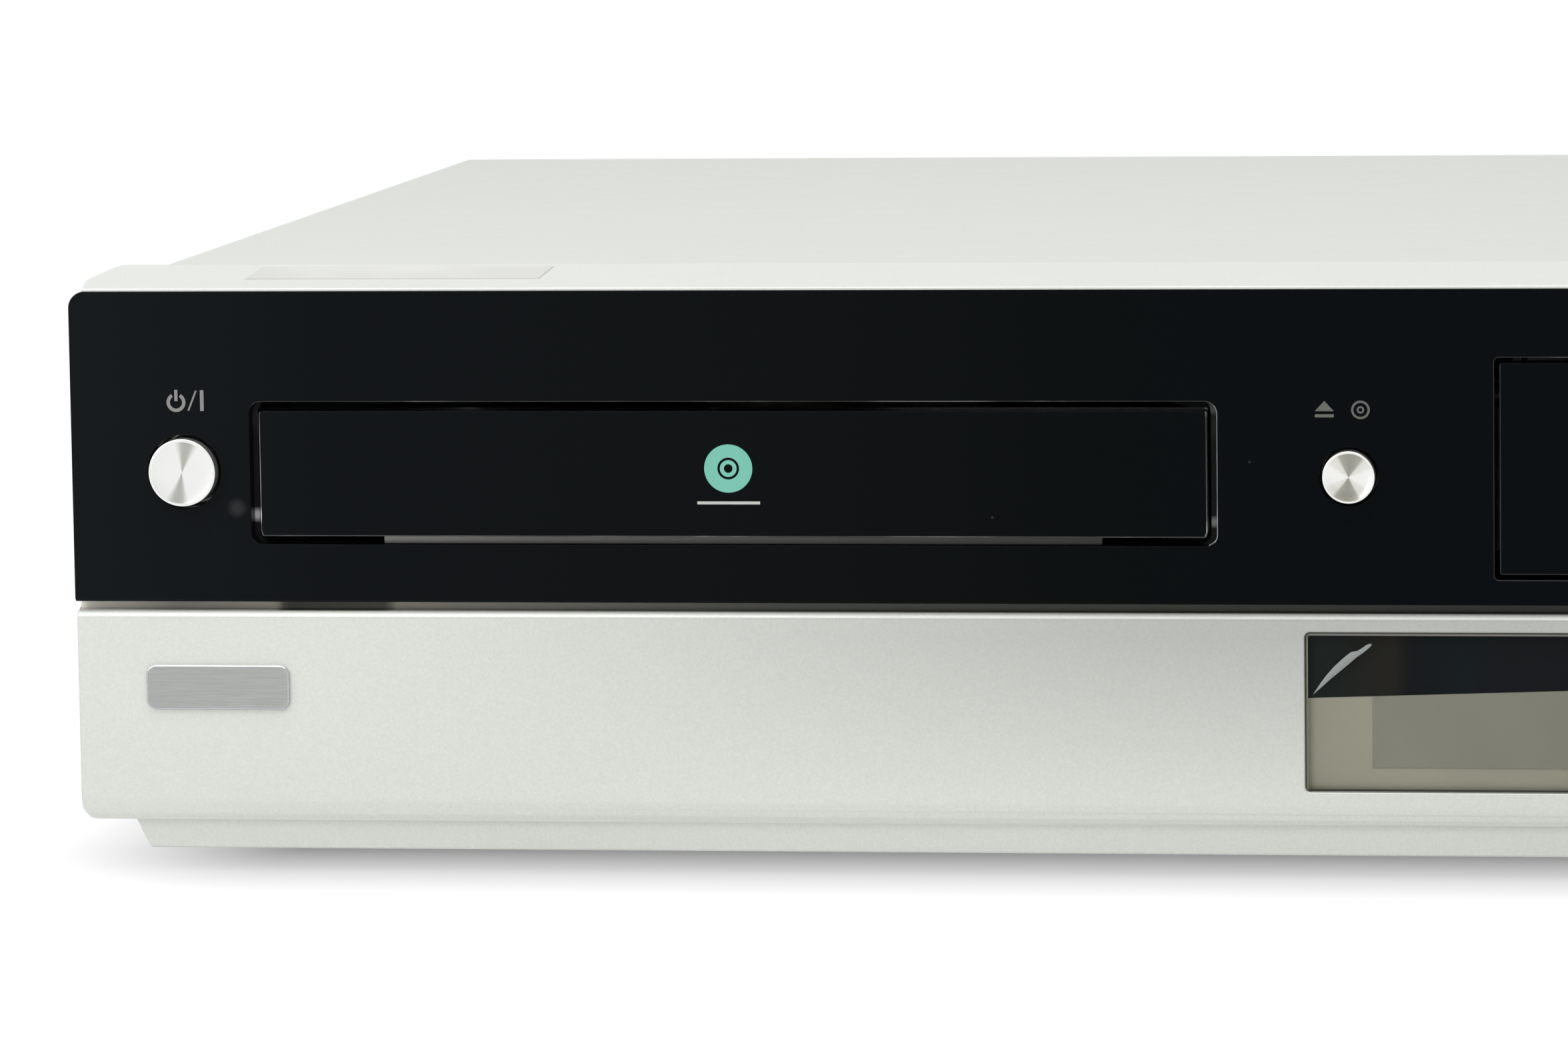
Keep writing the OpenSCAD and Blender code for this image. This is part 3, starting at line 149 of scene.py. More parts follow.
def seen_directly(tree):
    """1 for rays from the camera and from mirror or clear surfaces, else 0."""
    ray = node_of(tree, "ShaderNodeLightPath").outputs
    either = maths(tree, "MAXIMUM", ray["Is Camera Ray"], ray["Is Glossy Ray"])
    return maths(tree, "MAXIMUM", either, ray["Is Transmission Ray"])


# %% [markdown]
# A white sky would also light the player from all round. So the world has two
# strengths, dim for the rays that light and white for the rays that are seen, and
# the helper above says which kind a ray is.

# %% Sky
SKY_LEVEL = 0.30

world = bpy.data.worlds.new("sky")
bpy.context.scene.world = world
world.use_nodes = True
tree = world.node_tree
tree.nodes.clear()
dim = node_of(tree, "ShaderNodeBackground", {"Strength": SKY_LEVEL})
white = node_of(tree, "ShaderNodeBackground", {"Strength": 1.0})
both = node_of(tree, "ShaderNodeMixShader", {0: seen_directly(tree), 1: dim, 2: white})
node_of(tree, "ShaderNodeOutputWorld", {0: both})
print("sky level", SKY_LEVEL)

# %% [markdown]
# The floor is a sheet of pale paper. Under and near the player it is seen as a
# painted shadow: a darker paper, which the lamps still shade, plus an even lift.
# Over the next few centimetres it turns into even white, which hides where it
# ends. For light that bounces, it stays plain paper everywhere.

# %% Floor
# half sizes, drop and width of the fade in metres, as the floor is so much larger
FLOOR_HALF, FLOOR_DROP = 6.0, 0.0002
SHADE_HALF, SHADE_WIDE = (0.187, 0.112), 0.035
FLOOR_LIFT, PAPER, SHADOW_PAPER = 0.24, 0.93, 0.15

bpy.ops.object.select_all(action="DESELECT")
bpy.ops.mesh.primitive_plane_add(size=2 * FLOOR_HALF, location=(0, 0, -FLOOR_DROP))
floor = bpy.context.object
floor.name = "floor"
floor_paint = bpy.data.materials.new("floor_paper")
floor_paint.use_nodes = True
tree = floor_paint.node_tree
tree.nodes.clear()
side = vector_maths(tree, "ABSOLUTE", node_of(tree, "ShaderNodeTexCoord").outputs["Object"])
past = vector_maths(tree, "SUBTRACT", side, (*SHADE_HALF, 0))
far = vector_maths(tree, "LENGTH", vector_maths(tree, "MAXIMUM", past))
# painted shadow: the floor darkens near the player's footprint and fades to white further out
fade = node_of(tree, "ShaderNodeMapRange", {"Value": far, "From Max": SHADE_WIDE})
paper = node_of(tree, "ShaderNodeBsdfDiffuse", {"Color": (PAPER, PAPER, PAPER, 1)})
shadow_paper = node_of(tree, "ShaderNodeBsdfDiffuse", {"Color": (SHADOW_PAPER, SHADOW_PAPER, SHADOW_PAPER, 1)})
lift = node_of(tree, "ShaderNodeEmission", {"Strength": FLOOR_LIFT})
shaded = node_of(tree, "ShaderNodeAddShader", {0: shadow_paper, 1: lift})
even_white = node_of(tree, "ShaderNodeEmission")
faded = node_of(tree, "ShaderNodeMixShader", {0: fade, 1: shaded, 2: even_white})
by_ray = node_of(tree, "ShaderNodeMixShader", {0: seen_directly(tree), 1: paper, 2: faded})
node_of(tree, "ShaderNodeOutputMaterial", {0: by_ray})
floor.data.materials.append(floor_paint)
print("floor", 2 * FLOOR_HALF, "m wide")

# %% [markdown]
# Three area lamps stand in for large soft boxes: one high over the top, one to
# the left of the camera for the front, and a weak one to its right that opens the
# shadows. A point lamp would give hard shadows and hard glints on the gloss.

# %% Lamps


def soft_lamp(name, place, target, size, power):
    """A soft box of size (wide, high) in metres at place, aimed at target, both in millimetres."""
    lamp = bpy.data.objects.new(name, bpy.data.lights.new(name, "AREA"))
    bpy.context.scene.collection.objects.link(lamp)
    lamp.data.shape = "RECTANGLE"
    lamp.data.size, lamp.data.size_y = size
    lamp.data.energy = power
    lamp.location = Vector(place) * MM
    lamp.rotation_mode = "QUATERNION"
    lamp.rotation_quaternion = (Vector(target) - Vector(place)).to_track_quat("-Z", "Y")
    lamp.visible_camera = False
    print("lamp", name, power, "W")


soft_lamp("key", (-620, FACE_Y - 420, 420), (-150, FACE_Y, 30), (0.6, 0.6), 2.45)
soft_lamp("fill", (900, FACE_Y - 900, 700), (60, 0, 40), (1.2, 1.2), 0.6)
soft_lamp("top", (0, -340, 1500), (0, 0, 0), (1.6, 1.6), 22.5)

# %% [markdown]
# ## Finishes
# Each finish starts as the plain colour of its slot and gets the small things a
# real one shows: flakes in a silver paint, grain in a moulding, spangle on zinc,
# turning marks on a knob. Nearly all read Object coordinates, which are the
# player's own measures, so a pattern keeps its true scale on every part.

# %% Building blocks of a finish


def srgb(red, green, blue):
    """A colour as seen on a screen, 0 to 255, as the linear values Blender uses."""
    def linear(v):
        v /= 255
        return v / 12.92 if v <= 0.04045 else ((v + 0.055) / 1.055) ** 2.4
    return (linear(red), linear(green), linear(blue), 1.0)


def shade(colour, factor):
    """A colour made lighter or darker."""
    return tuple(min(1.0, v * factor) for v in colour[:3]) + (1.0,)


def tones(*stops):
    """Stops of a ramp, each written as its place and its colour on a screen."""
    return [(place, srgb(*colour)) for place, *colour in stops]


def shader_of(finish):
    return finish.node_tree.nodes["Principled BSDF"]


def new_finish(name, colour, metallic, roughness, **more):
    """An empty finish: one Principled shader with its constant values set on its own sockets."""
    made = bpy.data.materials.new(name)
    made.use_nodes = True
    constants = {"Base_Color": colour, "Metallic": metallic, "Roughness": roughness, **more}
    for socket, value in constants.items():
        shader_of(made).inputs[socket.replace("_", " ")].default_value = value
    return made


def feed(finish, socket, value):
    """Connects a value to one of the shader's sockets."""
    finish.node_tree.links.new(value, shader_of(finish).inputs[socket])


def colour_of(finish):
    """The output that feeds a finish's colour so far."""
    return shader_of(finish).inputs["Base Color"].links[0].from_socket


def press(finish, height, depth):
    """Lets a value press into the surface: depth is in millimetres."""
    bump = node_of(finish.node_tree, "ShaderNodeBump",
                   {"Height": height, "Distance": depth * MM, "Strength": 1.0})
    feed(finish, "Normal", bump.outputs["Normal"])


# %% [markdown]
# Patterns are worked out from where a point is on the player. These helpers give
# that place, a soft noise and a scale along one axis, and they turn such values
# into colours and into roughness.

# %% Patterns by place


def place_on(tree, stretch=(1, 1, 1), centre=(0, 0, 0)):
    """Object coordinates in metres, centred on a point given in millimetres, then stretched."""
    return node_of(tree, "ShaderNodeMapping", {
        "Vector": node_of(tree, "ShaderNodeTexCoord").outputs["Object"], "Scale": stretch,
        "Location": [-s * c * MM for s, c in zip(stretch, centre)]}).outputs["Vector"]


def noise(tree, size, vector, detail=2.0, roughness=0.5):
    """Soft noise whose spots are about size millimetres across."""
    return node_of(tree, "ShaderNodeTexNoise", {
        "Vector": vector, "Scale": 1 / (size * MM), "Detail": detail,
        "Roughness": roughness}).outputs["Fac"]


def blend(tree, share, colour, other):
    """Turns one colour into the other as the share goes from 0 to 1."""
    return node_of(tree, "ShaderNodeMix", {0: share, 6: colour, 7: other}, data_type="RGBA").outputs[2]


def ramp(tree, value, stops):
    """Turns a value into a colour by stops of (place, colour)."""
    made = node_of(tree, "ShaderNodeValToRGB", {"Fac": value})
    elements = made.color_ramp.elements
    while len(elements) < len(stops):
        elements.new(0.5)
    for element, (place, colour) in zip(elements, stops):
        element.position = place
        element.color = colour
    return made.outputs["Color"]


def spread(tree, value, low, high, start, end):
    """Maps a value that runs from start to end onto the range low to high."""
    return node_of(tree, "ShaderNodeMapRange", {
        "Value": value, "From Min": start, "From Max": end,
        "To Min": low, "To Max": high}).outputs["Result"]


def mottle(finish, value, colour, stops):
    """Lets a value make a finish's colour darker and lighter: stops hold places and factors."""
    feed(finish, "Base Color", ramp(finish.node_tree, value, [
        (place, shade(colour, factor)) for place, factor in stops]))


def vary_roughness(finish, value, low, high, start=0.3, end=0.7):
    """Lets a value run a finish's roughness from low to high."""
    feed(finish, "Roughness", spread(finish.node_tree, value, low, high, start, end))


def graded(tree, axis, low, high, start, end):
    """A value that runs from low to high between two places (mm) on one axis."""
    part = node_of(tree, "ShaderNodeSeparateXYZ", {0: place_on(tree)}).outputs[axis]
    return spread(tree, part, low, high, start * MM, end * MM)


def along_front(tree, stops, left, right):
    """A colour that changes along the front: stops run from X = left to X = right, in mm."""
    return ramp(tree, graded(tree, "X", 0, 1, left, right), stops)


# %% [markdown]
# Silver paint is a clear varnish with metal flakes in it. Seen close up, some
# flakes are lighter and some darker, so a fine noise tints it, a broad one varies
# its shine, and a very shallow one gives the skin of the sprayed coat. Painted
# shade makes the band below the panel a touch greyer towards its upper right,
# and the skirt and the rounded edges take darker copies of the silver, which is
# painted shade too.

# %% Painted finishes


def flake_paint(name, colour, metallic, roughness, flake=0.35, contrast=0.06, skin=0.004):
    made = new_finish(name, colour, metallic, roughness)
    tree = made.node_tree
    space = place_on(tree)
    flakes = noise(tree, flake, space, detail=3.0, roughness=0.8)
    mottle(made, flakes, colour, [(0.30, 1 - contrast), (0.52, 1), (0.72, 1 + contrast)])
    vary_roughness(made, noise(tree, 9, space), roughness - 0.03, roughness + 0.04)
    press(made, noise(tree, 0.9, space), skin)
    return made


def painted_shade(finish, amount, left, right, low, high, above):
    """Paints shade into a colour towards the upper right: from left to right, from low to high, not above.
    """
    tree = finish.node_tree
    grey = graded(tree, "X", 0, amount, left, right)
    grey.node.interpolation_type = "SMOOTHSTEP"
    grey = maths(tree, "MULTIPLY", grey, graded(tree, "Z", 0, 1, low, high))
    grey = maths(tree, "MULTIPLY", grey, graded(tree, "Z", 1, 0, above, above + 1))
    toned = node_of(tree, "ShaderNodeVectorMath", {
        0: colour_of(finish), "Scale": maths(tree, "SUBTRACT", 1.0, grey)}, operation="SCALE")
    feed(finish, "Base Color", toned.outputs["Vector"])


# painted shade on the band: greyer towards its upper right
BAND_SHADE = (0.33, -190, -45, 9, 33, 45)
silver_paint = flake_paint("silver_paint", srgb(220, 223, 216), 0.3, 0.36)
painted_shade(silver_paint, *BAND_SHADE)
# the skirt's paint is a darker copy of the silver: painted shade under the band's overhang
shaded_skirt_paint = flake_paint("shaded_skirt_paint", srgb(212, 215, 208), 0.3, 0.4)
# the rounded edges take a darker copy of the silver: painted shade that damps their highlight
shaded_edge_silver = flake_paint("shaded_edge_silver", srgb(212, 215, 209), 0.3, 0.36)
painted_shade(shaded_edge_silver, *BAND_SHADE)
cover_paint = flake_paint("cover_paint", srgb(208, 211, 204), 0.15, 0.45, flake=0.5, skin=0.008)
print("painted finishes:", silver_paint.name, shaded_edge_silver.name, cover_paint.name)

# %% [markdown]
# The black panel is moulded in gloss plastic and polished. A few specks of dust
# show on it, and a very slight change of sharpness from place to place. Its tone
# is lighter at the left end and darker towards the right: a painted reflection.

# %% Gloss black and smoked window
REFLECTION_ENDS = (-214, -40)
DUST, DUST_APART, DUST_SIZE = (0.07, 0.07, 0.07, 1), 11, 0.022


def gloss_black(name, roughness):
    # painted reflection: the black is lighter at the left end and darker towards the right
    reflection_tones = tones((0.0, 17, 21, 23), (0.2, 11, 15, 17), (0.6, 8, 12, 13), (0.77, 4, 8, 9),
                  (1.0, 2, 7, 10))
    made = new_finish(name, reflection_tones[2][1], 0.0, roughness, Specular_IOR_Level=0.045)
    tree = made.node_tree
    space = place_on(tree)
    specks = node_of(tree, "ShaderNodeTexVoronoi", {"Vector": space, "Scale": 1 / (DUST_APART * MM)})
    dusty = spread(tree, specks.outputs["Distance"], 1, 0, 0, DUST_SIZE)
    feed(made, "Base Color", blend(tree, dusty, along_front(tree, reflection_tones, *REFLECTION_ENDS), DUST))
    vary_roughness(made, noise(tree, 30, space, 4), roughness - 0.03, roughness + 0.05)
    return made


black_gloss = gloss_black("black_gloss", 0.09)
door_gloss = gloss_black("door_gloss", 0.08)


def highlit_edge(name, dark, pale):
    """An edge with a painted highlight, lighter in places that long soft noise picks."""
    made = new_finish(name, dark, 0.0, 0.2, Specular_IOR_Level=0.2)
    tree = made.node_tree
    feed(made, "Base Color", ramp(tree, noise(tree, 14, place_on(tree), 3), [
        (0.42, dark), (0.56, shade(dark, 1.8)), (0.66, pale)]))
    vary_roughness(made, noise(tree, 6, place_on(tree)), 0.14, 0.34)
    return made


def glint_and_smudge(finish, x, z, radius, colour):
    """Adds a small pale mark round a place on the front, given in millimetres: a painted glint on the
    tray's edges and its ledge, a smudge of dust on the panel.
    """
    tree = finish.node_tree
    far = vector_maths(tree, "LENGTH", place_on(tree, (1, 0, 1), (x, 0, z)))
    marked = spread(tree, far, 1, 0, 0.3 * radius * MM, radius * MM)
    feed(finish, "Base Color", blend(tree, marked, colour_of(finish), colour))


# painted highlights on the rounded edges of the black parts
edge_highlight = highlit_edge("edge_highlight", srgb(42, 44, 43), srgb(112, 114, 112))
pale_edge_highlight = highlit_edge("pale_edge_highlight", srgb(118, 120, 119), srgb(186, 188, 186))
door_edge_highlight = highlit_edge("door_edge_highlight", srgb(62, 63, 62), srgb(126, 128, 126))
tray_low, tray_high = corners("tray_door")
# painted glints: small bright spots on the tray's side edges
for x, z, mark in ((tray_low.x + 0.5, 49.4, srgb(205, 208, 210)),
                   (tray_high.x + 0.5, 47.7, srgb(150, 156, 152)),
                   (tray_high.x + 0.5, 64.0, srgb(118, 122, 124))):
    glint_and_smudge(door_edge_highlight, x, z, 1.3, mark)
# a smudge of dust on the panel
glint_and_smudge(black_gloss, -192.0, 50.4, 1.5, srgb(44, 45, 47))


def clear_glass(name, colour, alpha, roughness=0.03):
    made = new_finish(name, colour, 0.0, roughness, Alpha=alpha, Specular_IOR_Level=0.1)
    tree = made.node_tree
    vary_roughness(made, noise(tree, 12, place_on(tree)), roughness - 0.01, roughness + 0.03)
    return made


window_glass = clear_glass("window_glass", srgb(20, 22, 22), 0.12)
print("gloss finishes:", black_gloss.name, edge_highlight.name, window_glass.name)

# %% [markdown]
# A turned metal face carries fine rings, and rings throw light back as two
# bright fans and two dim ones. The dim fans are painted by the angle round each
# knob's own centre, which every knob carries as an attribute named spin.

# %% Turned knobs
RING_WIDE, RING_DEEP = 0.12, 0.0015


def turned_metal(name, lean, stops):
    """Fans of light: stops run from across (0) to along (1) a line that leans off the upright."""
    made = new_finish(name, stops[0][1], 0.9, 0.3)
    tree = made.node_tree
    spin = node_of(tree, "ShaderNodeAttribute", attribute_name="spin").outputs["Vector"]
    parts = node_of(tree, "ShaderNodeSeparateXYZ", {0: spin}).outputs
    angle = maths(tree, "ARCTAN2", parts["X"], parts["Z"])
    fan = maths(tree, "COSINE", maths(tree, "MULTIPLY_ADD", angle, 2.0, -2 * math.radians(lean)))
    feed(made, "Base Color", ramp(tree, spread(tree, fan, 0, 1, -1, 1), stops))
    turns = maths(tree, "MULTIPLY", vector_maths(tree, "LENGTH", spin), 2 * math.pi / (RING_WIDE * MM))
    press(made, maths(tree, "SINE", turns), RING_DEEP)
    return made


power_metal = turned_metal("power_metal", 10.0, tones(
    (0.0, 243, 243, 241), (0.84, 243, 244, 241), (0.92, 220, 221, 216), (0.965, 192, 193, 188),
    (1.0, 182, 183, 177)))
key_metal = turned_metal("key_metal", 6.0, tones(
    (0.0, 246, 247, 243), (0.14, 245, 245, 241), (0.34, 230, 229, 223), (0.62, 226, 225, 218),
    (0.78, 172, 171, 161), (1.0, 158, 157, 147)))
key_rim = flake_paint("key_rim", srgb(246, 246, 243), 0.85, 0.2, flake=0.2, contrast=0.02)


def satin_chrome(name, colour, roughness):
    made = new_finish(name, colour, 1.0, roughness)
    tree = made.node_tree
    lines = noise(tree, 4, place_on(tree, stretch=(1, 1, 40)), 4)
    mottle(made, lines, colour, [(0.35, 0.9), (0.65, 1.05)])
    vary_roughness(made, lines, roughness - 0.04, roughness + 0.05)
    return made


chrome = satin_chrome("chrome", srgb(178, 180, 178), 0.22)
print("knob finishes:", power_metal.name, key_metal.name, key_rim.name, chrome.name)

# %% [markdown]
# Inside and behind are the plain working finishes: zinc-plated sheet with its
# spangle, moulded plastics with a fine grain, rubber, solder mask over faint
# copper tracks, and bright turned metal. Spangle is made of cells, each with its
# own tone and shine, and a moulding has the fine grain of its tool.

# %% Sheet and mouldings


def zinc_sheet(name, colour, roughness, spangle):
    made = new_finish(name, colour, 0.85, roughness)
    tree = made.node_tree
    cells = node_of(tree, "ShaderNodeTexVoronoi", {"Vector": place_on(tree), "Scale": 1 / (spangle * MM)})
    tone = node_of(tree, "ShaderNodeSeparateColor", {0: cells.outputs["Color"]})
    mottle(made, tone.outputs[0], colour, [(0.0, 0.95), (1.0, 1.04)])
    vary_roughness(made, tone.outputs[1], roughness - 0.04, roughness + 0.06, 0, 1)
    return made


def moulded(name, colour, roughness=0.5, grain=0.5, depth=0.012, **more):
    made = new_finish(name, colour, 0.0, roughness, **more)
    tree = made.node_tree
    space = place_on(tree)
    mottle(made, noise(tree, 25, space), colour, [(0.3, 0.92), (0.7, 1.08)])
    press(made, noise(tree, grain, space, 3), depth)
    return made


# %% [markdown]
# Drawn and turned metal has fine lines along its grain, which a noise gives when
# it is squeezed across them. A circuit board is green or brown solder mask over
# its tracks, and a brick pattern gives these faintly.

# %% Drawn metal and boards


def drawn_metal(name, colour, roughness=0.3, along=(1, 30, 30)):
    """Metal with fine lines along one axis: the noise is squeezed across them."""
    made = new_finish(name, colour, 1.0, roughness)
    tree = made.node_tree
    lines = noise(tree, 6, place_on(tree, stretch=along), 4)
    mottle(made, lines, colour, [(0.3, 0.9), (0.7, 1.06)])
    vary_roughness(made, lines, roughness - 0.06, roughness + 0.08)
    return made


def circuit_board(name, mask, track):
    made = new_finish(name, mask, 0.0, 0.35)
    tree = made.node_tree
    lanes = node_of(tree, "ShaderNodeTexBrick", {
        "Vector": place_on(tree), "Scale": 60.0, "Mortar Size": 0.035,
        "Color1": mask, "Color2": shade(mask, 1.25), "Mortar": track})
    feed(made, "Base Color", lanes.outputs["Color"])
    return made


# %% [markdown]
# With these makers each working finish is one line. The ledge beside the disc
# tray is black too, with a few painted glints and lighter patches of painted
# light that show in the tray's gaps.

# %% Working finishes
zinc = zinc_sheet("zinc", srgb(190, 193, 192), 0.42, 5.0)
rear_steel = zinc_sheet("rear_steel", srgb(178, 181, 180), 0.46, 3.5)
case_black = moulded("case_black", srgb(30, 31, 32), 0.6, Specular_IOR_Level=0.2)
ledge_black = moulded("ledge_black", srgb(30, 31, 32), 0.6, Specular_IOR_Level=0.2)
# painted glints and painted light: pale spots and lighter patches in the tray's gaps
for x, z, radius, tone in ((tray_low.x - 0.2, 62.4, 2.2, 56), (tray_low.x - 0.2, 49.2, 1.1, 245),
                           (tray_high.x + 1.0, 61.4, 2.6, 58), (tray_high.x + 1.0, 63.8, 1.0, 120),
                           (tray_high.x + 1.0, 48.4, 0.9, 186)):
    glint_and_smudge(ledge_black, x, z, radius, srgb(tone, tone, tone))
case_grey = moulded("case_grey", srgb(58, 60, 63))
acetal = moulded("acetal", srgb(226, 221, 203), 0.42)
rubber = moulded("rubber", srgb(38, 38, 38), 0.8, 0.3, 0.03)
black_epoxy = moulded("black_epoxy", srgb(28, 29, 31), 0.55, 0.25, 0.01)
cable_film = moulded("cable_film", srgb(224, 221, 208), 0.35)
bright_steel = drawn_metal("bright_steel", srgb(196, 198, 200), 0.24)
turned_alloy = drawn_metal("turned_alloy", srgb(205, 207, 210), 0.22, (30, 30, 1))
plated = drawn_metal("plated", srgb(206, 198, 168), 0.25)
brass = drawn_metal("brass", srgb(196, 160, 92), 0.3)
board_green = circuit_board("board_green", srgb(28, 92, 52), srgb(58, 120, 70))
board_brown = circuit_board("board_brown", srgb(150, 112, 66), srgb(176, 138, 88))
print("working finishes made:", len(bpy.data.materials))

# %% [markdown]
# Printing ink lies a little rough on the gloss, and its edges are never quite as
# dense as its middle, so each ink is a matt colour with a fine uneven tone.

# %% Inks, films and the display's own colours
grey_ink, dark_ink, faint_ink, pale_ink, mint_ink = (
    moulded(name, srgb(*tone), roughness, 0.2, 0.002) for name, tone, roughness in (
        ("grey_ink", (132, 133, 130), 0.6), ("dark_ink", (84, 86, 86), 0.6),
        ("faint_ink", (97, 99, 92), 0.6), ("pale_ink", (196, 200, 194), 0.6),
        ("mint_ink", (118, 196, 176), 0.5)))
reflector_tan = moulded("reflector_tan", srgb(163, 161, 142), 0.55, 0.4, 0.004)
tube_grey = moulded("tube_grey", srgb(139, 138, 124), 0.35, 0.4, 0.002)
# the window's rim: painted highlight at the top, painted shade at the bottom, painted refraction at the
# sides
rim_highlight, rim_shade, rim_refraction = (
    moulded(name, srgb(*tone), 0.4, 0.4, 0.002) for name, tone in (
        ("rim_highlight", (134, 131, 125)), ("rim_shade", (38, 37, 30)), ("rim_refraction", (120, 117, 99))))
# painted glint: a pale streak on the display window
painted_glint = moulded("painted_glint", srgb(160, 166, 163), 0.4, 0.5, 0.01, Alpha=0.8)
clear_film = moulded("clear_film", srgb(207, 208, 203), 0.45, 0.8, 0.004, Specular_IOR_Level=0.2)
film_edge_shadow = moulded("film_edge_shadow", srgb(186, 186, 180), 0.5, 0.8, 0.004)
print("inks and films ready")

# %% [markdown]
# Three places carry painted light and shade that change their tone along the
# front: the groove between panel and band, the lip under the tray, and the dark
# card behind the display window. Each is one grey that a ramp along X makes
# lighter or darker.

# %% Painted light and shade along the front


def painted_light_grey(name, stops, left, right):
    """A moulded grey of painted light and shade that changes along the front."""
    made = moulded(name, stops[0][1], 0.5, 0.4, 0.006)
    feed(made, "Base Color", along_front(made.node_tree, stops, left, right))
    return made


# painted shade in the groove, with a painted reflection that lightens its left end
groove_shade_and_reflection = painted_light_grey("groove_shade_and_reflection", tones(
    (0.0, 252, 249, 238), (0.06, 178, 175, 165), (0.124, 200, 197, 186), (0.130, 68, 68, 60),
    (0.197, 94, 94, 85), (0.203, 188, 186, 174), (0.33, 150, 149, 139), (0.458, 110, 110, 101),
    (0.6, 90, 90, 82), (1.0, 60, 60, 52)), -214, 0)
# painted highlight on the tray's lip, brightest at its left end
lip_highlight_and_shade = painted_light_grey("lip_highlight_and_shade", tones(
    (0.0, 134, 133, 128), (0.2, 104, 103, 98), (0.4, 84, 83, 79), (0.67, 62, 62, 58),
    (1.0, 38, 39, 36)), -172, -72)
LIP_MIDDLE, LIP_FOOT = tray_low.z + 0.25, tray_low.z - 0.55
# painted shade darkens the lip only downwards, so the other limits lie outside the player
painted_shade(lip_highlight_and_shade, 0.9, -400, -399, LIP_MIDDLE, LIP_FOOT, above=400)
# painted reflection: the dark upper part of the display window
dark_reflection = painted_light_grey("dark_reflection", tones(
    (0.0, 31, 38, 37), (0.2, 31, 37, 36), (0.28, 36, 36, 33), (0.47, 38, 37, 31),
    (0.54, 22, 25, 27), (0.85, 21, 28, 31), (1.0, 24, 26, 29)), -46, -20)
shader_of(dark_reflection).inputs["Specular IOR Level"].default_value = 0.05
print("fading greys:", groove_shade_and_reflection.name, lip_highlight_and_shade.name, dark_reflection.name)

# %% [markdown]
# Every part of the frame now takes a finish by the slot its record names. The
# parts that are modelled again below hand theirs on to the new piece.

# %% Finishes by slot
BY_SLOT = {
    "cover_paint": cover_paint, "silver_plastic": silver_paint, "black_gloss": black_gloss,
    "window": window_glass, "display": black_epoxy, "brushed_key": key_metal, "chrome": chrome,
    "steel": rear_steel, "zinc": zinc, "black_plastic": case_black, "grey_plastic": case_grey,
    "ivory_plastic": acetal, "rubber": rubber, "board_green": board_green,
    "board_brown": board_brown, "chips": black_epoxy, "cable": cable_film, "jack_metal": plated,
    "polished_alloy": turned_alloy, "brass": brass}
SLOT_OF = {part["node"]: part["material_slot"] for part in frame["record"]["subparts"]}
OWN_FINISH = {"loader_frame": case_black}
for name, part in NODES.items():
    finish = OWN_FINISH.get(name, BY_SLOT[SLOT_OF[name]])
    if not part.material_slots:
        part.data.materials.append(finish)
    for slot in part.material_slots:
        slot.material = finish
print("parts with a finish:", len(NODES))

# %% [markdown]
# ## Tools for modelling
# A new primitive comes out selected, and the frame's own parts are selected
# after loading, so every step first makes one piece the only one selected.
# Faces are then picked by where they are and which way they look, which stays
# true when a size changes, where a face's number would not.

# %% Picking and shaping
FACING = (math.pi / 2, 0, 0)
SMOOTH_BELOW = math.radians(50)


def alone(piece):
    """Makes one piece the only selected and the active one."""
    if bpy.context.object and bpy.context.object.mode != "OBJECT":
        done()
    bpy.ops.object.select_all(action="DESELECT")
    piece.select_set(True)
    bpy.context.view_layer.objects.active = piece


def done():
    bpy.ops.object.mode_set(mode="OBJECT")


def open_all(piece):
    """Opens edit mode with the whole piece selected."""
    alone(piece)
    bpy.ops.object.mode_set(mode="EDIT")
    bpy.ops.mesh.select_all(action="SELECT")


def pick(piece, test):
    """Opens edit mode with the faces selected whose centre (mm) and normal pass the test."""
    alone(piece)
    bpy.ops.object.mode_set(mode="EDIT")
    bpy.context.tool_settings.mesh_select_mode = (False, False, True)
    bpy.ops.mesh.select_all(action="DESELECT")
    done()
    for face in piece.data.polygons:
        face.select = bool(test(face.center / MM, face.normal))
    bpy.ops.object.mode_set(mode="EDIT")


def inset(width, depth=0.0):
    bpy.ops.mesh.inset(thickness=width * MM, depth=depth * MM)


def extrude(y=0.0):
    bpy.ops.mesh.extrude_region_move(TRANSFORM_OT_translate={"value": (0, y * MM, 0)})


def grow(factor, centre):
    """Scales what is selected in the XZ plane about a centre in millimetres."""
    bpy.ops.transform.resize(value=(factor, 1, factor), center_override=Vector(centre) * MM)


# %% [markdown]
# A new piece starts as one of Blender's own primitives. It is added at its place,
# and the place is then put into its mesh, so that every piece has its origin at
# the player's own.

# %% New pieces


def fresh(name, add, place=(0, 0, 0), scale=(1, 1, 1), **how):
    """Adds a primitive at a place in millimetres, and puts its place into its mesh."""
    bpy.ops.object.select_all(action="DESELECT")
    add(location=Vector(place) * MM, **how)
    piece = bpy.context.object
    piece.name = piece.data.name = name
    piece.scale = scale
    bpy.ops.object.transform_apply(location=True, rotation=True, scale=True)
    return piece


def box(name, low, high):
    """A block between two corners in millimetres, ready to be shaped."""
    middle = [(a + b) / 2 for a, b in zip(low, high)]
    size = [(b - a) * MM for a, b in zip(low, high)]
    return fresh(name, bpy.ops.mesh.primitive_cube_add, middle, size, size=1)


def rod(name, place, radius, length):
    """A round bar from front to back, centred on a place in millimetres."""
    return fresh(name, bpy.ops.mesh.primitive_cylinder_add, place, vertices=64,
                 radius=radius * MM, depth=length * MM, rotation=FACING)


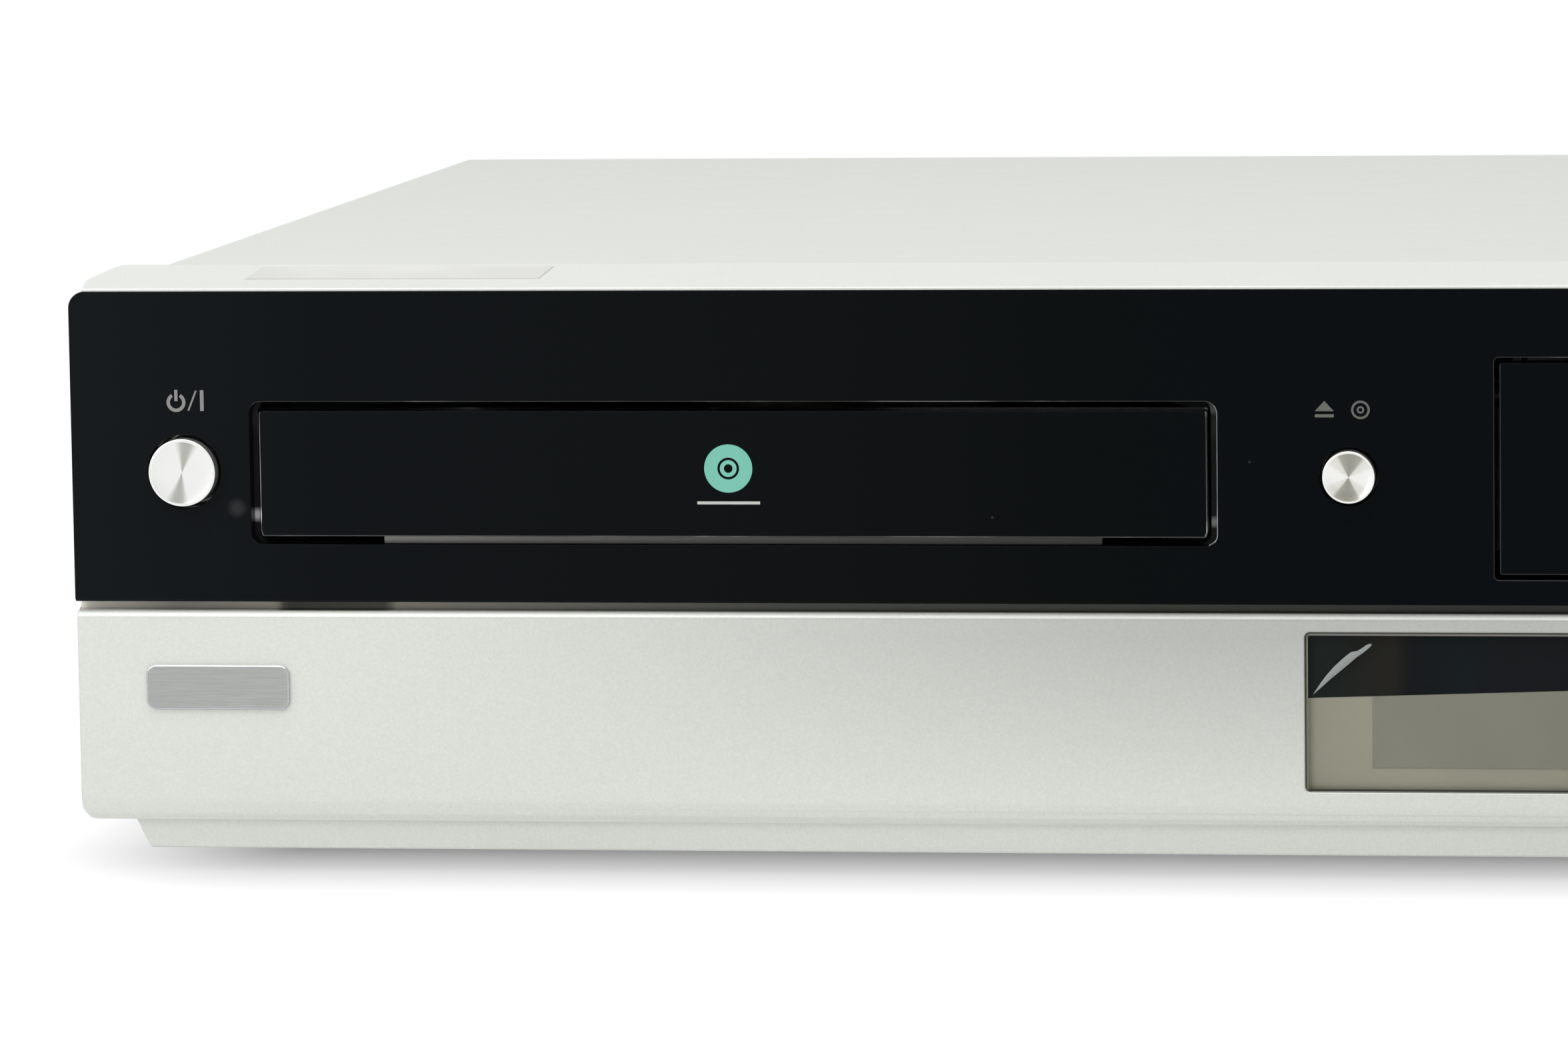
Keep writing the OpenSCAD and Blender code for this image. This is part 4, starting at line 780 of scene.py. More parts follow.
def join(name, pieces):
    """Makes one piece of several."""
    alone(pieces[0])
    for piece in pieces[1:]:
        piece.select_set(True)
    bpy.ops.object.join()
    whole = bpy.context.object
    whole.name = whole.data.name = name
    return whole


def face_forwards(piece, probe=0):
    """Turns the faces of a flat piece so that they look out of the front."""
    open_all(piece)
    bpy.ops.mesh.normals_make_consistent(inside=False)
    done()
    if piece.data.polygons[probe].normal.y > 0:
        open_all(piece)
        bpy.ops.mesh.flip_normals()
        done()


# %% [markdown]
# A Bevel modifier rounds edges. Limited by angle it would round every sharp edge,
# so each edge gets a weight instead, and an edge that must stay sharp gets none.

# %% Rounded edges


def apply_change(piece, kind, **values):
    """Adds a modifier, sets its values and applies it."""
    alone(piece)
    change = piece.modifiers.new("change", kind)
    for name, value in values.items():
        setattr(change, name, value)
    bpy.ops.object.modifier_apply(modifier="change")


def faces_by_edge(piece):
    """For each edge of a piece, the faces that meet there."""
    meeting = {}
    for face in piece.data.polygons:
        for key in face.edge_keys:
            meeting.setdefault(key, []).append(face)
    return [meeting.get(tuple(sorted(edge.vertices)), []) for edge in piece.data.edges]


def mark_edges(piece, angle, leave=None):
    """Gives full bevel weight to each edge sharper than an angle, except where leave() is true."""
    weight = piece.data.attributes.new("bevel_weight_edge", "FLOAT", "EDGE")
    points = [vertex.co / MM for vertex in piece.data.vertices]
    for edge, faces in zip(piece.data.edges, faces_by_edge(piece)):
        folded = len(faces) == 2 and faces[0].normal.angle(faces[1].normal, 0.0) > math.radians(angle)
        middle = (points[edge.vertices[0]] + points[edge.vertices[1]]) / 2
        weight.data[edge.index].value = float(folded and not (leave and leave(middle)))


def round_edges(piece, radius, steps=2, angle=35, edge_finish=0, leave=None):
    """Rounds the marked edges."""
    mark_edges(piece, angle, leave)
    apply_change(piece, "BEVEL", width=radius * MM, segments=steps, limit_method="WEIGHT",
                 use_clamp_overlap=False, material=edge_finish)


# %% [markdown]
# A finished piece is shaded smooth up to a limit angle, and weighted normals keep
# its large faces flat.

# %% Fitting a piece


def fit(piece, body, finish=None, stands_for=None):
    """Smooths a piece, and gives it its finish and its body.

    The large faces rule the shading, so that they stay flat right up to a rounded edge.
    """
    alone(piece)
    bpy.ops.object.shade_smooth_by_angle(angle=SMOOTH_BELOW)
    apply_change(piece, "WEIGHTED_NORMAL", keep_sharp=True)
    if finish:
        piece.data.materials.clear()
        piece.data.materials.append(finish)
    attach(piece, body)
    if stands_for:
        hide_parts(stands_for)
    print(piece.name, "on", body, "with", len(piece.data.polygons), "faces")


# %% [markdown]
# Some parts of the frame already have the right shape, with all their openings,
# and only miss their small radii. Such a part is copied, its loose triangles are
# merged into clean faces, and its edges are rounded. Steel sheet gets its bend
# and its deburred edge this way, and a moulding the radius of its tool.

# %% Copies with soft edges
SAME_POINT, SAME_FACE = 0.002, 0.6


def nudge(piece, test, x=0.0, y=0.0, z=0.0):
    """Moves the vertices whose place (mm) passes the test by so many millimetres."""
    for vertex in piece.data.vertices:
        if test(vertex.co / MM):
            vertex.co += Vector((x, y, z)) * MM


def level_splits(piece, height):
    """Lets a pierced front face be split along one level line, and nowhere else.

    A face can't have a hole, so Blender joins each hole to the rim by slanted
    edges, which would spoil the rounding where they meet a corner of a hole.
    """
    in_face = lambda c, n: n.y < -0.99 and abs(c.y - FACE_Y) < 0.05
    pick(piece, in_face)
    bpy.ops.mesh.bisect(plane_co=(0, 0, height * MM), plane_no=(0, 0, 1))
    bpy.ops.mesh.select_all(action="DESELECT")
    bpy.context.tool_settings.mesh_select_mode = (False, True, False)
    done()
    for edge, faces in zip(piece.data.edges, faces_by_edge(piece)):
        ends = [piece.data.vertices[i].co.z / MM - height for i in edge.vertices]
        edge.select = (len(faces) == 2 and all(in_face(face.center / MM, face.normal) for face in faces)
                       and max(map(abs, ends)) > 0.01)
    bpy.ops.object.mode_set(mode="EDIT")
    bpy.ops.mesh.dissolve_edges(use_verts=False)
    done()


def softened(node, radius, finishes, edges=None, steps=2, leave=None, level=None):
    """A copy of one part of the frame with clean faces and rounded edges.

    edges is the finish of the rounded edges, where it isn't the first one.
    """
    mesh = NODES[node].data.copy()
    mesh.materials.clear()
    for finish in finishes:
        mesh.materials.append(finish)
    twin = bpy.data.objects.new(node + "_soft", mesh)
    bpy.context.scene.collection.objects.link(twin)
    open_all(twin)
    bpy.ops.mesh.remove_doubles(threshold=SAME_POINT * MM)
    bpy.ops.mesh.dissolve_limited(angle_limit=math.radians(SAME_FACE))
    done()
    if level:
        level_splits(twin, level)
    round_edges(twin, radius, steps, edge_finish=finishes.index(edges or finishes[0]), leave=leave)
    return twin


def tint(piece, finish, test):
    """Gives one of a piece's finishes to the faces whose centre (mm) and normal pass the test."""
    number = piece.data.materials.find(finish.name)
    chosen = [face for face in piece.data.polygons if test(face.center / MM, face.normal)]
    for face in chosen:
        face.material_index = number
    return len(chosen)


# %% [markdown]
# ## The front
# The whole front is one silver moulding that carries a gloss black panel. Both
# have their openings in the frame already, so both are copied and softened. The
# tiny radius round each opening, which on the black parts carries a painted
# highlight, is what draws the doors as thin bright lines.

# %% Moulded front
KNOBS = {name: (sum(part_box(name), Vector()) / 2 / MM).xz for name in sorted(NODES)
         if name.endswith("_button")}
POWER_SHIFT = 0.6


def shift_power(piece):
    """Sets the power button, and the hole it runs in, a little to the right."""
    nudge(piece, lambda p: (p.xz - KNOBS["power_button"]).length < 8.5, x=POWER_SHIFT)


BAND_TOP = 36.6
WALL_Y = FACE_Y + 2.5
STRIP_END_X, STRIP_END_Z = 211.5, 79
window_low, window_high = corners("display_window")
strip_end = lambda m: abs(m.x) > STRIP_END_X and m.z > STRIP_END_Z and m.y > FACE_Y - 1
behind_panel = lambda m: (m.y > WALL_Y - 0.3 and PANEL_LOW + 5 < m.z < PANEL_HIGH - 5
                          and abs(m.x) < HALF_W - 5)
band_fold = lambda m: m.z < BAND_LOW + 1.5 and m.y < WALL_Y + 0.5
bezel = softened("front_bezel", 0.22, [silver_paint, shaded_edge_silver, groove_shade_and_reflection, ledge_black],
                 edges=shaded_edge_silver, level=(window_low.z + window_high.z) / 2,
                 leave=lambda m: strip_end(m) or behind_panel(m) or band_fold(m))
WINDOW_RAISED = 0.6


def raise_sill(piece):
    """Sets the lower edge of the display window a little higher than in the frame."""
    nudge(piece, lambda p: window_low.x - 1 < p.x < window_high.x + 1
          and abs(p.z - window_low.z) < 0.9, z=WINDOW_RAISED)


raise_sill(bezel)
shift_power(bezel)
print("faces in the softened front:", len(bezel.data.polygons))

# %% [markdown]
# Between the black panel and the band runs a narrow groove. Its floor is the
# band's top and its back is the lowest strip of the wall behind the panel, which
# is one large face. A bisection along one plane splits that strip off, and then
# both can take the groove's painted shade, which a painted reflection lightens
# towards the left end. The edges that bound the groove sit slightly lower than in
# the frame, and the fold under the band is tighter. Behind the panel, that wall
# and the sides of its openings are blackened, so that no silver shows in a gap.
# Beside the tray they stand a little further inwards, as the dark ledge that the
# gap shows.

# %% Groove and fold under the band
GROOVE_DROP, FOLD_TIGHTER = 0.4, 1.4
GROOVE_HIGH = PANEL_LOW + 0.35
LEDGE_LEFT, LEDGE_RIGHT = 1.6, -0.9
wall_front = lambda c, n: n.y < -0.9 and abs(c.y - WALL_Y) < 0.1
pick(bezel, wall_front)
bpy.ops.mesh.bisect(plane_co=(0, 0, GROOVE_HIGH * MM), plane_no=(0, 0, 1))
done()
# the groove's faces take painted shade, lightened towards the left end by a painted reflection
found = tint(bezel, groove_shade_and_reflection, lambda c, n: c.y > FACE_Y + 0.8 and c.y < WALL_Y + 0.1
             and BAND_TOP - 0.1 < c.z < GROOVE_HIGH)
print("faces in the groove:", found)
tint(bezel, ledge_black, lambda c, n: abs(n.y) < 0.9 and WALL_Y - 0.1 < c.y < WALL_Y + 3.5
     and PANEL_LOW + 2 < c.z < PANEL_HIGH - 2 and abs(c.x) < HALF_W - 4)
tint(bezel, ledge_black, lambda c, n: wall_front(c, n) and c.z > GROOVE_HIGH)
for edge_x, inwards in ((tray_low.x - 1.5, LEDGE_LEFT), (tray_high.x + 1.5, LEDGE_RIGHT)):
    nudge(bezel, lambda p: abs(p.x - edge_x) < 2.2 and WALL_Y - 0.3 < p.y < WALL_Y + 9.5
          and tray_low.z - 4 < p.z < tray_high.z + 4, x=inwards)
nudge(bezel, lambda p: p.y < WALL_Y + 0.1 and BAND_TOP - 1 < p.z < BAND_TOP + 0.1, z=-GROOVE_DROP)
nudge(bezel, lambda p: abs(p.y - WALL_Y) < 0.5 and p.z < BAND_LOW + 0.3, y=-FOLD_TIGHTER)

# %% [markdown]
# The two upper corners of the front follow the panel's own round corners, so the
# points that stand outside that arc are drawn in.

# %% Upper corners
ARC, ARC_TIGHTER, END_DRAWN_IN = 2.3, 0.2, 2
ARC_CENTRE = Vector((HALF_W - ARC, PANEL_HIGH - ARC))
for vertex in bezel.data.vertices:
    side, depth, height = vertex.co / MM
    out = Vector((abs(side), height)) - ARC_CENTRE
    in_corner = depth < FACE_Y + 4 and min(out) > 0 and height < PANEL_HIGH + 0.05
    if in_corner and out.length > ARC - ARC_TIGHTER:
        out = ARC_CENTRE + out.normalized() * (ARC - ARC_TIGHTER)
        vertex.co.x, vertex.co.z = math.copysign(out.x, side) * MM, out.y * MM
    elif depth < FACE_Y + 1 and out.y > 0 and abs(side) > HALF_W - END_DRAWN_IN:
        vertex.co.x = math.copysign(HALF_W - END_DRAWN_IN, side) * MM
fit(bezel, "case", stands_for="front_bezel")

# %% [markdown]
# The panel is a thin gloss plate with the openings of the two doors and the holes
# of the buttons. A painted highlight lies in patches on its rounded edges, most of
# all at the right end of the tray's opening. The outer rim, the rims round the
# knobs and that opening's left and lower edges stay as black as the face.

# %% Black panel
KNOB_RIM, OPENING_MOVED = 6.5, 0.9
panel = softened("black_fascia", 0.12, [black_gloss, edge_highlight, pale_edge_highlight], edges=edge_highlight,
                 level=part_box("power_button")[0].z / MM + 5)
at_knob = lambda c: min((c.xz - knob).length for knob in KNOBS.values()) < KNOB_RIM
outer_edge = lambda c: (c.z > PANEL_HIGH - 0.5 or c.z < PANEL_LOW + 0.9 or abs(c.x) > HALF_W - 0.8)
left_of_tray = lambda c, n: abs(c.x - tray_low.x) < 3 and n.x > 0.3
under_tray = lambda c, n: c.x < tray_high.x + 3 and abs(c.z - tray_low.z) < 3 and n.z > 0.3
tint(panel, black_gloss, lambda c, n: at_knob(c) or outer_edge(c) or left_of_tray(c, n)
     or under_tray(c, n))
tint(panel, pale_edge_highlight, lambda c, n: abs(c.x - tray_high.x) < 3 and n.x < -0.3)
shift_power(panel)
nudge(panel, lambda p: p.z < PANEL_LOW + 0.5, z=-GROOVE_DROP)
nudge(panel, lambda p: abs(p.x - tray_low.x) < 2 and p.z > PANEL_LOW + 5, x=OPENING_MOVED)
fit(panel, "case", stands_for="black_fascia")

# %% [markdown]
# The skirt closes the front below the band. It meets the band's fold in a fine
# line, so its front comes up close behind that fold.

# %% Skirt
SKIRT_FORWARD = 0.3
# its paint is a darker copy of the band's silver: painted shade under the band
skirt = softened("base_skirt", 0.3, [shaded_skirt_paint], leave=lambda m: m.z > BAND_LOW - 0.1)
nudge(skirt, lambda p: p.y < FACE_Y + 2.2, y=-SKIRT_FORWARD)
fit(skirt, "case", stands_for="base_skirt")

# %% [markdown]
# The tray's front and the cassette door are separate black mouldings, and their
# rounded edges carry a painted highlight. Under the tray's front runs a low rounded
# lip, the only part of the tray that shows when it is shut. It catches the light,
# most of all at its left end, so the faces below the door's own edge get a painted
# highlight that fades along its length, and painted shade darkens them downwards.
# The tray has a little play in its guides, and hangs slightly to the right in them.

# %% Tray front and cassette door
TRAY_LIP, TRAY_PLAY = 0.8, 0.55
LIP_LOWER, FOOT_LOWER = 0.28, 0.3
LEFT_DRAWN_IN, RIGHT_DRAWN_IN = 0.2, -0.35
tray_front = softened("tray_door", 0.15, [door_gloss, door_edge_highlight, lip_highlight_and_shade], edges=door_edge_highlight)
tint(tray_front, door_gloss, lambda c, n: n.z > 0.3)
tint(tray_front, door_edge_highlight, lambda c, n: abs(n.x) > 0.5)
# painted highlight on the lip, fading along it, and painted shade darkening it downwards
tint(tray_front, lip_highlight_and_shade, lambda c, n: c.z < tray_low.z + TRAY_LIP + 0.02 and n.z > -0.5)
nudge(tray_front, lambda p: p.z < tray_low.z + TRAY_LIP + 0.2, z=-LIP_LOWER)
nudge(tray_front, lambda p: p.z < tray_low.z, z=-FOOT_LOWER)
nudge(tray_front, lambda p: True, x=TRAY_PLAY)
nudge(tray_front, lambda p: p.x < tray_low.x + 2, x=LEFT_DRAWN_IN)
nudge(tray_front, lambda p: p.x > tray_high.x - 2, x=RIGHT_DRAWN_IN)
fit(tray_front, "tray", stands_for="tray_door")
tape_flap = softened("cassette_door", 0.15, [door_gloss, edge_highlight], edges=edge_highlight)
tint(tape_flap, door_gloss, lambda c, n: n.z > 0.3)
fit(tape_flap, "cassette_door", stands_for="cassette_door")

# %% [markdown]
# ## Buttons
# Every button is a turned metal cap on a plastic stem: a rounded rim, a shallow
# dished face, and behind the panel a collar that keeps it from falling out. A
# cylinder is the start, and its two end faces are drawn out step by step.

# %% One turned button
PROUD, WALL, GUIDE = 1.5, 2.5, 2.3
RIM, STEP, DISH = 0.09, 0.05, 0.35
STEP_DEEP, DISH_DEEP = 0.14, 0.05
RIM_FROM, RIM_DEEP = 0.90, 0.6
COLLAR, COLLAR_DEEP, STEM = 1.4, 1.0, 1.6


def turned_button(node, finish):
    low, high = corners(node)
    middle = (low + high) / 2
    middle.x += POWER_SHIFT * (node == "power_button")
    radius = (high.x - low.x) / 2 - COLLAR
    walls = 2 if middle.z > PANEL_LOW else 1
    cap_depth = PROUD + walls * WALL + GUIDE
    piece = rod(node + "_turned", (middle.x, low.y + cap_depth / 2, middle.z), radius, cap_depth)
    pick(piece, lambda c, n: n.y < -0.9)
    inset(radius * RIM)
    inset(radius * STEP, -STEP_DEEP)
    inset(radius * DISH, -DISH_DEEP)
    done()
    pick(piece, lambda c, n: n.y > 0.9)
    extrude()
    grow((radius + COLLAR) / radius, middle)
    extrude(y=COLLAR_DEEP)
    extrude()
    grow(STEM / (radius + COLLAR), middle)
    extrude(y=high.y - low.y - cap_depth - COLLAR_DEEP)
    done()
    round_edges(piece, 0.16, 3, angle=50)
    spin = piece.data.attributes.new("spin", "FLOAT_VECTOR", "POINT")
    for i, vertex in enumerate(piece.data.vertices):
        spin.data[i].vector = vertex.co - middle * MM
    for material in (finish, key_rim):
        piece.data.materials.append(material)
    tint(piece, key_rim, lambda c, n: (c - middle).xz.length > radius * RIM_FROM
         or c.y > low.y + RIM_DEEP)
    fit(piece, node, stands_for=node)


for name in KNOBS:
    turned_button(name, power_metal if name == "power_button" else key_metal)

# %% [markdown]
# ## Signs
# Over each button sits a small printed sign: a broken ring for power, a triangle
# on a bar for opening, and the arrows, the square and the dot of the tape deck.
# They are ink, so each is a flat outline given a thickness of a few hundredths
# of a millimetre, just in front of the face that carries it.

# %% Ink shapes
INK, INK_GAP = 0.03, 0.012


def ink_disc(x, z, radius, sides=48):
    return fresh("ink", bpy.ops.mesh.primitive_circle_add, (x, 0, z), vertices=sides,
                 radius=radius * MM, fill_type="NGON", rotation=FACING)


def ink_bar(x, z, width, height, lean=0.0):
    """An upright bar; lean moves its top to the right by so many millimetres."""
    bar = fresh("ink", bpy.ops.mesh.primitive_plane_add, size=MM, rotation=FACING)
    bar.data.transform(Matrix.Diagonal((width, 1, height, 1)))
    for vertex in bar.data.vertices:
        vertex.co += Vector((x + lean * (0.5 if vertex.co.z > 0 else -0.5), 0, z)) * MM
    return bar


def ink_arrow(x, z, width, height, way):
    """A triangle that points up, left or right."""
    arrow = ink_disc(0, 0, 1, sides=3)
    points = {"up": ((-1, -1), (1, -1), (0, 1)), "right": ((-1, -1), (1, 0), (-1, 1)),
              "left": ((1, -1), (1, 1), (-1, 0))}[way]
    for vertex, (a, b) in zip(arrow.data.vertices, points):
        vertex.co = Vector((x + a * width / 2, 0, z + b * height / 2)) * MM
    return arrow


def ink_ring(x, z, outer, inner, gap=0):
    """A flat ring; gap leaves out so many degrees to each side of its top."""
    ring = ink_disc(x, z, outer)
    pick(ring, lambda c, n: True)
    inset(outer - inner)
    bpy.ops.mesh.delete(type="FACE")
    done()
    if gap:
        pick(ring, lambda c, n: abs(math.degrees(math.atan2(c.x - x, c.z - z))) < gap)
        bpy.ops.mesh.delete(type="FACE")
        done()
    return ring


def print_sign(name, shapes, body, finish):
    """Joins flat shapes into one sign and gives it the thickness of the ink."""
    sign = join(name, shapes)
    for vertex in sign.data.vertices:
        vertex.co.y = (FACE_Y - INK_GAP) * MM
    face_forwards(sign)
    apply_change(sign, "SOLIDIFY", thickness=INK * MM, offset=1)
    fit(sign, body, finish)


# %% [markdown]
# The power sign is a ring broken at its top by an upright bar, and beside it a
# slash and a bar.

# %% Power and opening signs
POWER_X, POWER_Z = -200.2, 64.95
SLASH_X, STROKE_X, STROKE_Z = -197.95, -196.6, 65.2
print_sign("power_sign", [
    ink_ring(POWER_X, POWER_Z, 1.32, 0.85, gap=32), ink_bar(POWER_X, POWER_Z + 0.95, 0.44, 1.55),
    ink_bar(SLASH_X, STROKE_Z, 0.26, 2.75, lean=1.1), ink_bar(STROKE_X, STROKE_Z, 0.5, 2.85)],
    "case", grey_ink)
DISC_SIGN_X, TAPE_SIGN_X, OPENING_Z = -43.05, 196.9, 63.85


def opening_sign(name, x, pictogram):
    arrow = ink_arrow(x, OPENING_Z + 0.57, 2.57, 1.38, "up")
    bar = ink_bar(x, OPENING_Z - 0.75, 2.55, 0.42)
    print_sign(name, [arrow, bar] + pictogram, "case", faint_ink)


DISC_AT, REELS_X, LINE = (DISC_SIGN_X + 4.85, OPENING_Z + 0.05), TAPE_SIGN_X + 5, 0.28
opening_sign("disc_sign", DISC_SIGN_X, [ink_ring(*DISC_AT, 1.25, 0.95), ink_ring(*DISC_AT, 0.5, 0.26)])
reels = [ink_ring(REELS_X + s * 0.95, OPENING_Z, 0.5, 0.26) for s in (-1, 1)]
frame_bars = [ink_bar(REELS_X, OPENING_Z + s * 1.05, 4.2, LINE) for s in (-1, 1)]
side_bars = [ink_bar(REELS_X + s * 1.96, OPENING_Z, LINE, 2.1) for s in (-1, 1)]
opening_sign("tape_sign", TAPE_SIGN_X, reels + frame_bars + side_bars)

# %% [markdown]
# The five tape keys carry the usual signs, printed on the band in dark ink. Each
# sign stands over its own key, so its place is read from that button.

# %% Signs over the tape keys
KEY_SIGN_Z = 29.2
key_x = [KNOBS[key + "_button"].x for key in ("rewind", "play", "forward", "stop", "record")]
SIGNS = {
    "rewind_sign": [ink_arrow(key_x[0] + s * 0.85, KEY_SIGN_Z, 1.6, 2.0, "left") for s in (-1, 1)],
    "play_sign": [ink_arrow(key_x[1], KEY_SIGN_Z, 1.8, 2.0, "right")],
    "forward_sign": [ink_arrow(key_x[2] + s * 0.85, KEY_SIGN_Z, 1.6, 2.0, "right") for s in (-1, 1)],
    "stop_sign": [ink_bar(key_x[3], KEY_SIGN_Z, 1.8, 1.8)],
    "record_sign": [ink_disc(key_x[4], KEY_SIGN_Z, 1.0)]}
for name, shapes in SIGNS.items():
    print_sign(name, shapes, "case", dark_ink)

# %% [markdown]
# In the middle of the tray's front is a small mint green print: a plain disc seen
# from the front, with its hub and the hole in it, over a thin pale line.

# %% Disc print on the tray
TRAY_PRINT = (-124.0, 55.9)
print_sign("tray_print", [ink_ring(*TRAY_PRINT, 3.3, 1.5), ink_ring(*TRAY_PRINT, 1.15, 0.6)],
           "tray", mint_ink)
print_sign("tray_print_line", [ink_bar(TRAY_PRINT[0], 51.2, 8.6, 0.4)], "tray", pale_ink)

# %% [markdown]
# ## The display
# A clear, faintly smoked window closes the display. Behind it lie three thin
# cards: a dark card over the upper part with a slanted lower edge, a painted
# reflection of dark surroundings; a pale reflector, its tone partly a painted
# reflection of the bright floor; and just before that the display tube, a
# slightly darker field.

# %% Display window
WINDOW_RADIUS, CARD_BEHIND, CARD_THICK = 0.34, 0.7, 0.3
window = softened("display_window", WINDOW_RADIUS, [window_glass, rim_highlight, rim_shade, rim_refraction],
                  steps=3)
low, high = window_low.copy(), window_high
front_side = lambda c: c.y < low.y + WINDOW_RADIUS
# painted highlight on the rim's top, painted shade on its bottom, painted refraction on its sides
tint(window, rim_highlight, lambda c, n: front_side(c) and n.z > 0.2)
tint(window, rim_shade, lambda c, n: front_side(c) and n.z < -0.2)
tint(window, rim_refraction, lambda c, n: front_side(c) and abs(n.x) > 0.2 and abs(n.z) <= 0.6)
raise_sill(window)
fit(window, "case", stands_for="display_window")
low.z += WINDOW_RAISED
CARD_FACE = low.y + CARD_BEHIND


def tinted_field(name, outline, y, finish):
    """A thin card behind the window; its outline is four points (x, z), lower left first."""
    card = box(name, (-1, y, -1), (1, y + CARD_THICK, 1))
    order = {(-1, -1): 0, (1, -1): 1, (1, 1): 2, (-1, 1): 3}
    for vertex in card.data.vertices:
        x, z = outline[order[(1 if vertex.co.x > 0 else -1, 1 if vertex.co.z > 0 else -1)]]
        vertex.co.x, vertex.co.z = x * MM, z * MM
    round_edges(card, 0.05, 1)
    fit(card, "case", finish)


IN, EDGE_LEFT, EDGE_RIGHT = 0.12, 24.65, 27.55
# painted reflection: a dark card over the window's upper part, with a slanted lower edge
tinted_field("dark_reflection_card", [(low.x + IN, EDGE_LEFT), (high.x - IN, EDGE_RIGHT),
                              (high.x - IN, high.z - IN), (low.x + IN, high.z - IN)],
             CARD_FACE, dark_reflection)
# the reflector's pale tone is partly a painted reflection of the bright floor
tinted_field("display_reflector", [(low.x + IN, low.z + IN), (high.x - IN, low.z + IN),
                                   (high.x - IN, EDGE_RIGHT), (low.x + IN, EDGE_LEFT)],
             CARD_FACE + 0.02, reflector_tan)
TUBE_LEFT, TUBE_LOW, TUBE_HIGH_LEFT, TUBE_HIGH_RIGHT = -36.8, 15.15, 24.88, 27.2
tinted_field("display_tube", [(TUBE_LEFT, TUBE_LOW), (-TUBE_LEFT, TUBE_LOW),
                              (-TUBE_LEFT, TUBE_HIGH_RIGHT), (TUBE_LEFT, TUBE_HIGH_LEFT)],
             CARD_FACE - 0.1, tube_grey)

# %% [markdown]
# Near the window's upper left corner lies a painted glint: a pale streak on a
# thin sheet just in front of the glass, straight on its lower side, bulging on
# the upper one, thin at its foot and blunt at its top. A grid is drawn out
# between those two sides, and its middle is raised a little.

# %% Painted glint on the window
GLINT_FROM, GLINT_TO = Vector((-44.82, 0, 25.2)), Vector((-36.92, 0, 32.1))
# stations: share of the length, then the upper and the lower side, in millimetres
GLINT_STATIONS = [(0.0, 0.0, 0.0), (0.17, 0.5, 0.0), (0.3, 0.8, 0.04), (0.45, 1.0, 0.0),
          (0.6, 1.06, -0.04), (0.74, 1.0, -0.03), (0.8, 0.56, -0.12), (0.87, 0.42, -0.17),
          (0.95, 0.36, -0.18), (1.0, 0.12, -0.12)]
glint_sheet = fresh("window_glint", bpy.ops.mesh.primitive_grid_add, x_subdivisions=36, y_subdivisions=4,
               size=1)
along = GLINT_TO - GLINT_FROM
across = Vector((-along.z, 0, along.x)).normalized()
for vertex in glint_sheet.data.vertices:
    u, v = vertex.co.x + 0.5, vertex.co.y + 0.5
    near = next(i for i in range(1, len(GLINT_STATIONS)) if u <= GLINT_STATIONS[i][0] + 0.001)
    (u0, high0, low0), (u1, high1, low1) = GLINT_STATIONS[near - 1:near + 1]
    w = (u - u0) / (u1 - u0)
    upper, lower = high0 + (high1 - high0) * w, low0 + (low1 - low0) * w
    point = GLINT_FROM + along * u + across * (lower + (upper - lower) * v)
    point.y = low.y - 0.02 - 0.4 * (upper - lower) * v * (1 - v)
    vertex.co = point * MM
open_all(glint_sheet)
bpy.ops.mesh.remove_doubles(threshold=0.01 * MM)
done()
face_forwards(glint_sheet, probe=40)
fit(glint_sheet, "case", painted_glint)

# %% [markdown]
# ## Film on the strip
# A thin clear film, left on from the factory, lies flat on the strip above the
# tray. Its tint is a little greyer than the paint, and its cut edges at the front
# and at the right carry a fine painted shadow line.

# %% Film on the sloping strip
FILM_LEFT, FILM_RIGHT = -192.3, -151.0
FILM_FRONT, FILM_BACK = FACE_Y + 8.6, FACE_Y + 20.6
FILM_THICK, FILM_SUNK, CUT_EDGE = 0.06, 0.02, 0.28
# the strip's front and back edge, each as (y, z)
STRIP_FRONT, STRIP_BACK = (FACE_Y + 0.2, 80.6), (FRAME_BACK, 82.0)


def strip_height(y):
    """Height of the sloping strip at a depth, in millimetres."""
    share = (y - STRIP_FRONT[0]) / (STRIP_BACK[0] - STRIP_FRONT[0])
    return STRIP_FRONT[1] + share * (STRIP_BACK[1] - STRIP_FRONT[1])


film = box("strip_film", (FILM_LEFT, FILM_FRONT, 0), (FILM_RIGHT, FILM_BACK, FILM_THICK))
pick(film, lambda c, n: n.z > 0.9)
inset(CUT_EDGE)
done()
film.data.materials.append(clear_film)
film.data.materials.append(film_edge_shadow)
# painted shadow: a fine darker line along the film's cut edges
tint(film, film_edge_shadow, lambda c, n: c.y < FILM_FRONT + CUT_EDGE or c.x > FILM_RIGHT - CUT_EDGE)
for vertex in film.data.vertices:
    vertex.co.z += (strip_height(vertex.co.y / MM) - FILM_SUNK) * MM
fit(film, "case")

# %% [markdown]
# ## Case, feet and screws
# The rest of the outside is painted or plated sheet, rubber and turned steel. All
# of it keeps the frame's shape and gets its small radii: a deburred edge on the
# sheet, a moulded one on the feet, a polished one on the badge.

# %% Sheet parts, feet, screws and badge
OUTSIDE = [("top_cover", 0.15, [cover_paint], "cover_paint"),
           ("rear_panel", 0.12, [rear_steel], "steel"),
           ("bottom_pan", 0.12, [zinc], "zinc"),
           ("feet", 0.4, [rubber], "rubber"),
           ("case_screws", 0.12, [bright_steel], "zinc"),
           ("badge_plate", 0.25, [chrome, bright_steel], "chrome")]
for node, radius, finishes, slot in OUTSIDE:
    piece = softened(node, radius, finishes, edges=finishes[-1])
    fit(piece, "case", stands_for=node)

